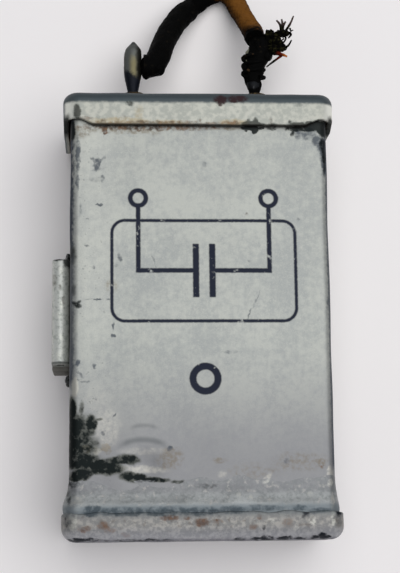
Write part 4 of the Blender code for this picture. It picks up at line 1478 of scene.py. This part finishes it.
def base_wear(place):
    """A grey cap with painted shade and dirt in the crease under the solder, painted light on its rounding,
    rust spots and black chips along its edge.
    """
    y, z = split(place)[1:]
    grain = coarse_grain(place)
    torn = flat(wander(place, 1.1, 0.25))
    front = z.fade(3.0, 6.0)
    # Painted shade in the crease below the solder.
    crease_shade = (y + 1.2 * (grain - 0.5)).fade(-24.9, -23.9)
    dirt = blots(place)
    creased_dirt_and_shade = bitten(hills(torn, CREASE_DIRT_AND_SHADE), dirt, 3.2) * front
    rusted = bitten(hills(torn, BASE_RUSTED), grain, 4.0, 0.2, 1.5) * front
    blackened = bitten(hills(torn, BASE_BLACKENED), dirt, 2.8, 0.2, 1.3) * z.fade(5.5, 7.2)
    bright_and_highlit = bitten(hills(torn, BASE_BRIGHT_AND_HIGHLIT), grain, 4.0, 0.2, 1.8) * front
    mottled = grain.fade(0.40, 0.62)
    painted_light_frost = mix(mottled, screen(160, 160, 164), screen(182, 181, 184))
    # Painted shade: a dark line along the front of the cap's bottom edge.
    foot = (y + 0.25 * (grain - 0.5)).fade(-26.95, -27.3) * z.fade(0.0, 6.0)
    creep = bitten(y.fade(-25.6, -24.0), grain, 2.2, 0.55, 0.95) * (1 - front)
    return (
        (0.85, screen(108, 107, 107), 0.5, 0.6),
        (0.7 * mottled, screen(150, 147, 142), 0.45, 0.6),
        (0.35 * dirt.fade(0.56, 0.70), screen(84, 72, 62), 0.6, 0.4),
        # Painted light: the lower rounding is lightened against its shade, in a frosted mottle.
        (0.85 * y.fade(-25.4, -26.9), painted_light_frost, 0.6, 0.15),
        (0.6 * y.fade(-27.1, -27.35) * dirt.fade(0.46, 0.66), screen(122, 118, 112), 0.6, 0.4),
        (0.6 * bright_and_highlit, TIN_BRIGHT, 0.40, 0.5),
        (0.55 * crease_shade, screen(80, 92, 98), 0.55, 0.4),
        (0.75 * rusted.most(creep), mix(0.6 * front, rust_colour(place), screen(92, 62, 46)), 0.8, 0.1),
        (0.75 * creased_dirt_and_shade, screen(44, 56, 64), 0.55, 0.3),
        (0.5 * foot, screen(60, 62, 78), 0.55, 0.3),
        (0.95 * blackened, screen(18, 24, 34), 0.55, 0.85),
    )


print(len(BASE_RUSTED) + len(BASE_BLACKENED) + len(CREASE_DIRT_AND_SHADE) + len(BASE_BRIGHT_AND_HIGHLIT), "marks on the cap")

# %% Make the bottom cap
RIM_WAVE = 0.22
WAVE_RUN = 0.8


def make_base():
    """A shallow drawn pan, open upwards, whose rim is not quite straight."""
    bm = can_shell(CAP.x, CAP.z, CAP_CORNER, -TOP, BASE_RIM)
    open_end(bm, 1)
    rim = [edge for edge in bm.edges if max(vert.co.y for vert in edge.verts) < TOLERANCE - TOP]
    bevel(bm, rim, BASE_ROUND, CORNER_SEGMENTS)
    squares(bm, CAP.x, CAP.z, CAP_CORNER, steps(BASE_ROUND - TOP, BASE_RIM, size=0.4))
    buckle(bm, amount=0.10, scale=0.3, seed=17.0)
    bmesh.ops.solidify(bm, geom=bm.faces[:], thickness=CAP_SHEET)
    round_rims(bm, offset=0.22)
    for vert in bm.verts:
        wave = noise.noise(Vector((vert.co.x * 0.45, 7, vert.co.z * 0.45)))
        vert.co.y += RIM_WAVE * wave * soft_step((vert.co.y - BASE_RIM + WAVE_RUN) / WAVE_RUN)
    return bm


piece("drawn_base", make_base(), tin_finish("tin_base", base_wear), "tin_plate", "bottom_cap")

# %% Solder finish
SOLDER_PALE = screen(134, 135, 136)
SOLDER_DULL = screen(118, 119, 121)


def solder_finish(name, layers_of):
    """Dull grey solder with a frosted, slightly lumpy skin."""
    material, shader, place = start_finish(name)
    clouds = 0.5 * cloud(place, 0.5, 3.0) + 0.5 * cloud(place, 2.4, 3.0)
    colour = mix(clouds.fade(0.36, 0.64), SOLDER_DULL, SOLDER_PALE)
    rough = 0.42 + 0.20 * clouds
    for mask, stain, stain_rough in layers_of(place):
        colour = mix(mask, colour, stain)
        rough = rough + mask * (stain_rough - rough)
    colour.feed(shader.inputs["Base Color"])
    rough.feed(shader.inputs["Roughness"])
    shader.inputs["Metallic"].default_value = TIN_METALLIC
    roughen(shader, cloud(place, 1.8, 4.0), 0.03)
    return material


FILLET_BLACK = (
    (-14.6, -19.7, 1.90, 0.75, 1.25, 34),
    (-8.2, -19.9, 1.50, 0.52, 1.3, -8),
    (-5.9, -20.15, 1.70, 0.28, 1.05, -4),
    (-3.0, -20.45, 0.80, 0.20, 0.7),
    (0.5, -20.95, 1.50, 0.30, 0.7),
    (-15.9, -22.3, 0.36, 0.90, 0.9),
)
# Pale specks, and painted highlights at the right and left edges of the solder.
FILLET_SPECKS_AND_HIGHLIGHTS = (
    (4.15, -22.2, 0.28, 0.39, 0.9),
    (5.6, -22.3, 0.30, 0.31, 0.9),
    (7.5, -20.3, 0.30, 0.65, 1.1, -40),
    (12.7, -22.0, 0.34, 0.34, 0.8),
    (-14.9, -23.0, 0.80, 0.90, 0.9),
    (15.3, -23.0, 0.26, 1.0, 1.4),
    (15.1, -20.7, 0.30, 0.40, 1.5),
)


def fillet_wear(place):
    """Grey solder with a painted highlight on its lip, painted shade in the crease below, and black where
    the tube is rubbed.
    """
    y, z = split(place)[1:]
    grain = coarse_grain(place)
    torn = flat(wander(place, 1.1, 0.25))
    front = z.fade(4.0, 6.5)
    # Painted highlight along the fillet's lip.
    lit_lip = (y + 0.8 * (grain - 0.5)).fade(-21.2, -22.4)
    # Painted shade in the crease below the lip, which also dims the ridge's highlight.
    crease_shade = (y + 0.9 * (grain - 0.5)).fade(-22.8, -23.5)
    dirt = blots(place)
    creased_dirt_and_shade = bitten(hills(torn, CREASE_DIRT_AND_SHADE), dirt, 3.2)
    black = bitten(hills(torn, FILLET_BLACK), dirt, 3.2, 0.30, 1.45)
    specks = bitten(hills(torn, FILLET_SPECKS_AND_HIGHLIGHTS), grain, 4.0, 0.2, 1.8)
    mottled = grain.fade(0.44, 0.64)
    return (
        (0.7 * lit_lip, screen(156, 159, 158), 0.46),
        (0.5 * mottled, screen(114, 118, 118), 0.5),
        (0.4 * dirt.fade(0.56, 0.70) * front, screen(176, 172, 166), 0.5),
        (0.5 * specks * front, screen(198, 196, 186), 0.42),
        (0.6 * crease_shade, screen(92, 104, 112), 0.6),
        (0.75 * creased_dirt_and_shade * front, screen(44, 56, 64), 0.55),
        (0.9 * black * front, screen(18, 25, 28), 0.55),
    )


print(len(FILLET_BLACK) + len(FILLET_SPECKS_AND_HIGHLIGHTS), "marks on the solder")

# %% Run the solder round the rim
fillet_low, fillet_high = [on_can(corner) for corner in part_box("bottom_solder_fillet")]
FILLET_FOOT = fillet_high.x - BODY.x
FILLET_CREST = 0.03
FILLET_BURIED = 0.2
FILLET_SUNK = 0.5
FILLET_LIP = 0.2
FILLET_ROLL = 0.38
ROLL_START = 0.9
SCANT = 0.42
SCANT_RUN = 1.5


def fillet_offset(height):
    """How far the solder stands off the tube. It swells downwards and rolls in at the cap's rim."""
    share = max(0.0, (height - fillet_low.y) / (fillet_high.y - fillet_low.y))
    swell = FILLET_CREST + (FILLET_FOOT + FILLET_LIP - FILLET_CREST) * (1 - share) ** 2
    return swell - FILLET_ROLL * soft_step((fillet_low.y + ROLL_START - height) / (FILLET_SUNK + ROLL_START))


def make_fillet():
    """Two skins of the tube's section. The inner one sinks in, the outer one spreads downwards."""
    low, high = fillet_low.y - FILLET_SUNK, fillet_high.y
    bm = can_shell(BODY.x, BODY.z, BODY_EDGE, low, high)
    open_end(bm, 1)
    open_end(bm, -1)
    squares(bm, BODY.x, BODY.z, BODY_EDGE, steps(low, high, size=0.2))
    bm.normal_update()
    inner_verts, inner_faces = bm.verts[:], bm.faces[:]
    copy = bmesh.ops.duplicate(bm, geom=inner_verts + bm.edges[:] + inner_faces)["geom"]
    for vert in points_of(copy):
        share = (vert.co.y - low) / (high - low)
        off_back = soft_step((vert.co.z + BODY.z) / CAP_CORNER)
        lumps = 0.14 * noise.noise(vert.co * 0.55) * off_back * (1 - share)
        scant = 1 - SCANT * soft_step((vert.co.x - BODY.x + SCANT_RUN) / SCANT_RUN)
        vert.co += vert.normal * (scant * fillet_offset(vert.co.y) + lumps)
        vert.co.y += 0.9 * share * noise.noise(Vector((vert.co.x * 0.35, 3, vert.co.z * 0.35)))
    for vert in inner_verts:
        vert.co -= vert.normal * FILLET_BURIED
    bmesh.ops.reverse_faces(bm, faces=inner_faces)
    ends = [edge for edge in bm.edges if edge.is_boundary]
    for sign in (1, -1):
        loops = [edge for edge in ends if (edge.verts[0].co.y - (low + high) / 2) * sign > 0]
        bmesh.ops.bridge_loops(bm, edges=loops)
    return bm


RIM_SOLDER = solder_finish("rim_solder", fillet_wear)
piece("base_solder", make_fillet(), RIM_SOLDER, "solder", "bottom_solder_fillet")

# %% [markdown]
# ## The mounting hook
#
# A strap is soldered to the left wall and folded over at the front into an open slot, so that the can
# hooks onto a rail, and a stop closes the slot's lower end. A spin bends the strap's edge line, an
# extrusion makes it a sheet, and only then does it get its thickness, so the fold stays even. A Boolean
# joins the stop.

# %% Round-edged block
def block(low, high, offset):
    """A box between two corners with its edges rounded off."""
    low, high = Vector(low), Vector(high)
    bm = bmesh.new()
    bmesh.ops.create_cube(bm, size=1)
    bmesh.ops.scale(bm, vec=high - low, verts=bm.verts[:])
    bmesh.ops.translate(bm, vec=(low + high) / 2, verts=bm.verts[:])
    bevel(bm, bm.edges[:], offset, RIM_SEGMENTS)
    return bm


print("blocks have edges of", RIM_SEGMENTS, "steps")

# %% Bend the hook
hook_low, hook_high = [on_can(corner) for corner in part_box("mounting_hook")]
HOOK_SHEET = 0.7
HOOK_STOP = 1.0
HOOK_LEG = 6.0
STOP_TOP = 2.2
FOLD_STEPS = 14
FOLD_RADIUS = (hook_high.x - hook_low.x) / 2
FOLD_Z = hook_high.z - FOLD_RADIUS
STRAP_LOW = hook_low.y + HOOK_STOP


def make_hook():
    """The folded strap with the stop at its lower end."""
    middle = (hook_low.x + hook_high.x) / 2
    bm = bmesh.new()
    foot = bm.verts.new((hook_high.x, STRAP_LOW, hook_low.z))
    shoulder = bm.verts.new((hook_high.x, STRAP_LOW, FOLD_Z))
    bm.edges.new((foot, shoulder))
    folded = bmesh.ops.spin(
        bm, geom=[shoulder], cent=(middle, 0, FOLD_Z), axis=(0, 1, 0), angle=-math.pi, steps=FOLD_STEPS
    )["geom_last"]
    leg = bmesh.ops.extrude_vert_indiv(bm, verts=folded)["verts"]
    bmesh.ops.translate(bm, vec=(0, 0, -HOOK_LEG), verts=leg)
    made = bmesh.ops.extrude_edge_only(bm, edges=bm.edges[:])["geom"]
    bmesh.ops.translate(bm, vec=(0, hook_high.y - STRAP_LOW, 0), verts=points_of(made))
    slices(bm, (0, 1, 0), steps(STRAP_LOW, hook_high.y, size=0.5))
    slices(bm, (0, 0, 1), steps(hook_low.z, FOLD_Z, size=0.8))
    bm.normal_update()
    plate = max(bm.faces, key=lambda face: face.calc_center_median().x)
    if plate.normal.x < 0:
        bmesh.ops.reverse_faces(bm, faces=bm.faces[:])
    bmesh.ops.solidify(bm, geom=bm.faces[:], thickness=HOOK_SHEET)
    round_rims(bm, offset=0.13)
    stop_low = (hook_low.x + 0.05, hook_low.y + 0.35, FOLD_Z - HOOK_LEG + 0.05)
    stop_high = (hook_high.x - 0.05, STRAP_LOW + 0.25, STOP_TOP)
    return combine(bm, block(stop_low, stop_high, 0.18), "UNION")


print("hook fold of radius", round(FOLD_RADIUS, 2), "mm")

# %% Wear, painted glints and shade of the hook
HOOK_GLINTS = (
    (-17.05, 5.7, 0.26, 0.40, 0.9, 25),
    (-17.0, 1.4, 0.18, 0.55, 1.2, 15),
    (-17.3, 0.1, 0.22, 0.40, 0.8, 10),
    (-16.95, -2.6, 0.24, 0.45, 1.0, 20),
    (-17.3, -4.8, 0.3, 0.5, 0.9),
    (-16.8, -4.0, 0.2, 0.8, 0.6),
)
HOOK_STAINED = ((-17.9, 4.5, 0.32, 0.80, 0.9), (-17.2, 3.6, 0.16, 0.45, 0.9), (-16.7, 1.9, 0.24, 0.50, 0.9))
# Painted shade where the hook meets the can at its upper end.
HOOK_CORNER_SHADE = ((-16.1, 6.9, 0.60, 0.80, 1.3), (-17.4, 7.1, 0.60, 0.20, 1.0))


def hook_wear(place):
    """A pale strip with painted glints along its crown, brown stains, and painted shade in its corners, gap
    and seam.
    """
    x, y, z = split(place)
    grain = coarse_grain(place)
    torn = flat(wander(place, 1.2, 0.2))
    front = z.fade(1.5, 3.4)
    stop = y.fade(STRAP_LOW + 0.15, STRAP_LOW - 0.15)
    # Painted shade: the seam above the stop, and the gap between the hook and the can.
    stop_seam_shade = abs(y - STRAP_LOW - 0.2).fade(0.22, 0.08)
    inner = x.fade(hook_high.x - 0.22, hook_high.x)
    painted_glints = bitten(hills(torn, HOOK_GLINTS), grain) * front
    stained = bitten(hills(torn, HOOK_STAINED), grain) * front
    black = bitten(hills(torn, HOOK_CORNER_SHADE), grain) * front
    return (
        (0.8, screen(210, 212, 206), 0.5, 0.4),
        # Painted glints along the fold's crown.
        (0.5 * painted_glints, screen(232, 232, 220), 0.42, 0.5),
        (0.6 * grain.fade(0.46, 0.64), screen(138, 146, 138), 0.5, 0.4),
        (0.5 * stained, screen(92, 84, 74), 0.6, 0.4),
        (0.85 * stop, screen(84, 79, 72), 0.7, 0.2),
        # Painted shade in the corners, along the seam above the stop and in the gap beside the can.
        (0.9 * black.most(0.8 * stop_seam_shade).most(0.4 * inner), STEEL_BLACK, 0.6, 0.2),
    )


piece("folded_hook", make_hook(), tin_finish("tin_hook", hook_wear), "tin_plate", "mounting_hook")

# %% Solder beads at the hook's ends
def bead_wear(place):
    """Black burnt flux over most of the bead."""
    holes = cloud(place, 2.0, 4.0)
    return ((0.9 * holes.fade(0.3, 0.5), STEEL_BLACK, 0.6),)


BEAD_FINISH = solder_finish("hook_solder", bead_wear)
for number, side in enumerate(("upper", "lower")):
    bead_low, bead_high = [on_can(corner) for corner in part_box("hook_solder_" + side)]
    half = (bead_high - bead_low) / 2
    middle = (bead_low + bead_high) / 2 + Vector((0.15, 0, 0))
    bm = bmesh.new()
    lump(bm, middle, (half.x * 1.2, half.y * 1.2, half.z), raggedness=0.22, seed=20 + number)
    piece("hook_bead_" + side, bm, BEAD_FINISH, "solder", "hook_solder_" + side)

# %% [markdown]
# ## The terminals
#
# Each lug is a ring under a rivet with a leaf-shaped blade bent up from its back edge, kept off the lid
# by a red fibre bush. Turned pieces are spun from half a section. The blade is an outline that is filled,
# extruded and rounded off. Booleans cut its eye and join it to its ring.

# %% Finishes of the terminals
def lug_finish():
    """Tinned lug metal, gone blue-black at its foot."""
    material, shader, place = start_finish("lug_metal")
    y = split(place)[1]
    patches = cloud(place, 1.2, 4.0)
    dark = (y + 2.0 * (patches - 0.5)).fade(33.4, 32.2)
    colour = mix(patches.fade(0.35, 0.65), screen(96, 96, 84), screen(150, 148, 128))
    mix(0.95 * dark, colour, screen(16, 21, 30)).feed(shader.inputs["Base Color"])
    (0.4 + 0.25 * patches).feed(shader.inputs["Roughness"])
    shader.inputs["Metallic"].default_value = 0.6
    roughen(shader, cloud(place, 4.0, 3.0), 0.02)
    return material


def brass_finish():
    """Brass that has gone brown all over, with a little of its colour left in patches."""
    material, shader, place = start_finish("rivet_brass")
    patches = cloud(place, 1.5, 4.0)
    mix(patches.fade(0.45, 0.7), screen(38, 33, 28), screen(104, 88, 58)).feed(shader.inputs["Base Color"])
    (0.4 + 0.3 * patches).feed(shader.inputs["Roughness"])
    shader.inputs["Metallic"].default_value = 0.8
    roughen(shader, cloud(place, 5.0, 3.0), 0.015)
    return material


def fibre_finish(name, pale, dark, grain):
    """Pressed paper: short fibres drawn out in one direction, with darker flecks."""
    material, shader, place = start_finish(name)
    fibres = cloud(stretched(place, (1.0, 1.0, 0.25)), grain, 4.0, 0.7)
    flecks = cloud(place, 0.7 * grain, 2.0).fade(0.62, 0.7)
    colour = mix(fibres.fade(0.35, 0.65), dark, pale)
    mix(0.5 * flecks, colour, screen(30, 14, 10)).feed(shader.inputs["Base Color"])
    (0.62 + 0.25 * fibres).feed(shader.inputs["Roughness"])
    roughen(shader, fibres, 0.03)
    return material


LUG_FINISH = lug_finish()
BRASS = brass_finish()
RED_FIBRE = fibre_finish("red_fibre", screen(62, 28, 24), screen(36, 20, 18), 3.0)
print("terminal finishes ready")

# %% Make the lugs
LUG_SHEET = 0.5
LUG_FOOT = 28.6
BLADE_HALF = ((0.6, 0.0), (0.6, 1.9), (1.0, 4.0), (1.0, 7.7), (0.15, 8.6))
HOLE_RADIUS = 1.15
FOOT_RADIUS = 2.2
EYE_RADIUS = 0.4
EYE_HEIGHT = 5.6
BUSH_OUTLINE = ((1.15, 26.8), (1.9, 26.8), (1.9, 27.5), (3.1, 27.5), (3.1, 28.5), (1.15, 28.5))
RIVET_HEAD = 0.45


def turned(profile, middle_x, offset):
    """A ring spun about the lug's own axis from a closed outline of radius and height, edges rounded off."""
    bm = bmesh.new()
    verts = [bm.verts.new((radius, height, 0)) for radius, height in profile]
    edges = [bm.edges.new((verts[i - 1], verts[i])) for i in range(len(verts))]
    bmesh.ops.spin(
        bm,
        geom=verts + edges,
        cent=(0, 0, 0),
        axis=(0, 1, 0),
        angle=2 * math.pi,
        steps=ROUND_SEGMENTS,
        use_merge=True,
    )
    bmesh.ops.remove_doubles(bm, verts=bm.verts[:], dist=TOLERANCE / 10)
    face_outwards(bm)
    bmesh.ops.translate(bm, vec=(middle_x, 0, 0), verts=bm.verts[:])
    round_rims(bm, offset)
    return bm


def make_blade(middle_x):
    """The lug's leaf-shaped blade with its eye."""
    right = [(middle_x + x, LUG_FOOT + y, BLADE_Z - LUG_SHEET / 2) for x, y in BLADE_HALF]
    left = [(middle_x - x, LUG_FOOT + y, BLADE_Z - LUG_SHEET / 2) for x, y in reversed(BLADE_HALF)]
    bm = bmesh.new()
    face = bm.faces.new([bm.verts.new(point) for point in right + left])
    made = bmesh.ops.extrude_face_region(bm, geom=[face])["geom"]
    bmesh.ops.translate(bm, vec=(0, 0, LUG_SHEET), verts=points_of(made))
    face_outwards(bm)
    round_rims(bm, offset=0.1)
    eye = rod((middle_x, LUG_FOOT + EYE_HEIGHT, BLADE_Z), EYE_RADIUS, 2.0, (0, 0, 1))
    return combine(bm, eye, "DIFFERENCE")


def make_lug(middle_x):
    """The blade on the flat ring that the rivet clamps."""
    ring = [(HOLE_RADIUS, LUG_FOOT), (FOOT_RADIUS, LUG_FOOT)]
    ring += [(FOOT_RADIUS, LUG_FOOT + LUG_SHEET), (HOLE_RADIUS, LUG_FOOT + LUG_SHEET)]
    return combine(make_blade(middle_x), turned(ring, middle_x, 0.08), "UNION")


def make_rivet(middle_x):
    """A tube with a flat head at each end."""
    low, high = [on_can(corner).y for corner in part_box("left_terminal_rivet")]
    outline = [(0.6, low), (1.5, low), (1.5, low + RIVET_HEAD), (1.0, low + RIVET_HEAD)]
    outline += [(1.0, high - RIVET_HEAD), (1.5, high - RIVET_HEAD), (1.5, high), (0.6, high)]
    return turned(outline, middle_x, 0.14)


for side, middle_x in (("left", -LUG_X), ("right", LUG_X)):
    piece(side + "_lug", make_lug(middle_x), LUG_FINISH, "lug_metal", side + "_terminal_lug")
    bush = turned(BUSH_OUTLINE, middle_x, 0.15)
    piece(side + "_bush", bush, RED_FIBRE, "red_fibre", side + "_terminal_bush")
    piece(side + "_rivet", make_rivet(middle_x), BRASS, "rivet_brass", side + "_terminal_rivet")

# %% [markdown]
# ## Solder on the lugs
#
# The left blade is coated with solder to a point, like a leaf. The skin that made the tar makes this coat
# too, with smoother sides. On the right only a low collar is left, and most of it lies under the tar.

# %% Coat the lugs
LEFT_COAT = (
    (29.9, -7.98, 0.62),
    (30.5, -8.00, 0.66),
    (31.25, -8.03, 0.78),
    (32.0, -8.02, 0.96),
    (32.8, -8.00, 1.12),
    (34.0, -8.00, 1.19),
    (35.2, -8.00, 1.17),
    (36.2, -7.95, 1.08),
    (36.6, -7.94, 0.92),
    (37.15, -7.91, 0.46),
    (37.5, -7.90, 0.16),
)
RIGHT_COAT = (
    (31.0, 7.94, 0.70),
    (31.35, 7.94, 0.88),
    (31.75, 7.94, 0.97),
    (32.1, 7.94, 0.90),
    (32.4, 7.94, 0.70),
)


def left_coat_wear(place):
    """Grey at the left, a painted amber highlight down the middle, painted shade on both sides, and
    blue-black at the foot.
    """
    x, y = split(place)[:2]
    grain = coarse_grain(place)
    across = x + LUG_X + 0.06
    # Painted highlight: an amber stripe down the middle of the rounded coat.
    amber = (y + 1.4 * (grain - 0.5)).fade(36.0, 34.4) * abs(across - 0.1).fade(0.85, 0.15)
    # Painted shade on both sides of the rounded coat.
    shade_right = (across + 0.6 * (grain - 0.5)).fade(0.15, 0.75)
    shade_left = (-1 * across + 0.3 * (grain - 0.5)).fade(0.85, 1.15)
    dark_foot = (y + 0.6 * across + 1.8 * (grain - 0.5)).fade(33.3, 32.4)
    return (
        (0.8 * y.fade(29.0, 30.0), screen(84, 87, 82), 0.5),
        (0.6 * amber, screen(124, 114, 72), 0.5),
        (0.9 * shade_right.most(0.7 * shade_left), screen(26, 25, 18), 0.5),
        (0.6 * y.fade(36.8, 37.3), screen(44, 48, 48), 0.5),
        (0.97 * dark_foot, screen(12, 17, 28), 0.5),
    )


def right_coat_wear(place):
    """Black from soot and tar."""
    return ((0.97 * cloud(place, 1.6, 4.0).fade(0.1, 0.4), screen(12, 14, 18), 0.55),)


def coat(side, stations, bulge, wear):
    """The solder on one lug."""
    made = skin(stations, flatness=0.76, bulge=bulge, seed=5.0)
    piece(side + "_coat", made, solder_finish(side + "_coat", wear), "solder", side + "_solder_joint")


coat("left", LEFT_COAT, 0.035, left_coat_wear)
coat("right", RIGHT_COAT, 0.10, right_coat_wear)

# %% [markdown]
# ## What is sealed inside
#
# The roll of paper and foil, its wraps, the pads and the pitch are never seen while the can is whole.
# They stay the solids that they are, and get finishes of their own for the day someone opens the can on
# screen.

# %% Finishes of the contents
def pitch_finish():
    """Black pitch, glossy where it has flowed."""
    material, shader, place = start_finish("black_pitch")
    flow = cloud(place, 0.4, 4.0)
    mix(flow.fade(0.4, 0.7), screen(14, 12, 11), screen(34, 29, 25)).feed(shader.inputs["Base Color"])
    (0.22 + 0.3 * flow).feed(shader.inputs["Roughness"])
    roughen(shader, flow, 0.08)
    return material


def foil_finish():
    """Bright creased foil."""
    material, shader, place = start_finish("foil")
    creases = cloud(place, 0.8, 5.0)
    colour = mix(creases.fade(0.4, 0.6), screen(168, 170, 172), screen(206, 207, 208))
    colour.feed(shader.inputs["Base Color"])
    (0.2 + 0.25 * creases).feed(shader.inputs["Roughness"])
    shader.inputs["Metallic"].default_value = 1.0
    roughen(shader, creases, 0.05)
    return material


FOIL = foil_finish()
WAXED_PAPER = fibre_finish("wound_paper", screen(176, 158, 126), screen(146, 126, 94), 1.6)
KRAFT = fibre_finish("kraft_paper", screen(166, 130, 88), screen(138, 102, 64), 2.0)
BOARD = fibre_finish("press_board", screen(146, 116, 82), screen(112, 86, 58), 1.4)
CONTENTS = {
    "left_inner_washer": RED_FIBRE,
    "right_inner_washer": RED_FIBRE,
    "left_foil_tab": FOIL,
    "right_foil_tab": FOIL,
    "foil_winding": WAXED_PAPER,
    "winding_wrap": KRAFT,
    "can_liner": KRAFT,
    "winding_core": BOARD,
    "top_pad": BOARD,
    "bottom_pad": BOARD,
    "pitch_seal": pitch_finish(),
}
for node, material in CONTENTS.items():
    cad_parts[node].data.materials.clear()
    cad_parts[node].data.materials.append(material)
print("contents dressed:", len(CONTENTS))

# %% [markdown]
# ## Floor and light
#
# The can lies on a plain pale floor under one broad soft lamp. Metal shows what is round it: the lamp
# makes the broad face pale, and the dim world beyond the lamp draws the dark lines along every rounded
# edge. The lamp is set so that a colour comes out about as it is written.

# %% Lay the floor
FLOOR_RADIUS = 1.2
FLOOR_COLOUR = screen(249, 245, 244)

bm = bmesh.new()
bmesh.ops.create_circle(bm, cap_ends=True, segments=96, radius=FLOOR_RADIUS)
mesh = bpy.data.meshes.new("floor")
bm.to_mesh(mesh)
bm.free()
floor = add_object("floor", mesh)
paint = bpy.data.materials.new("floor_paint")
paint.use_nodes = True
shader = paint.node_tree.nodes["Principled BSDF"]
shader.inputs["Base Color"].default_value = FLOOR_COLOUR
shader.inputs["Roughness"].default_value = 0.9
shader.inputs["Specular IOR Level"].default_value = 0.1
mesh.materials.append(paint)
print("floor of", FLOOR_RADIUS, "m")

# %% Hang the lamp
LAMP_SIZE = 1.3
LAMP_PLACE = (0.30, 0.16, 0.95)
LAMP_POWER = 9.0
WORLD_COLOUR = (0.25, 0.26, 0.28, 1.0)

lamp = bpy.data.lights.new("soft_lamp", "AREA")
lamp.shape = "DISK"
lamp.size = LAMP_SIZE
lamp.energy = LAMP_POWER
hung = add_object("soft_lamp", lamp)
hung.location = LAMP_PLACE
world = bpy.data.worlds.new("room")
world.use_nodes = True
world.node_tree.nodes["Background"].inputs["Color"].default_value = WORLD_COLOUR
bpy.context.scene.world = world
bpy.context.scene.view_settings.view_transform = "Standard"
print("lamp of", LAMP_POWER, "W")

# %% [markdown]
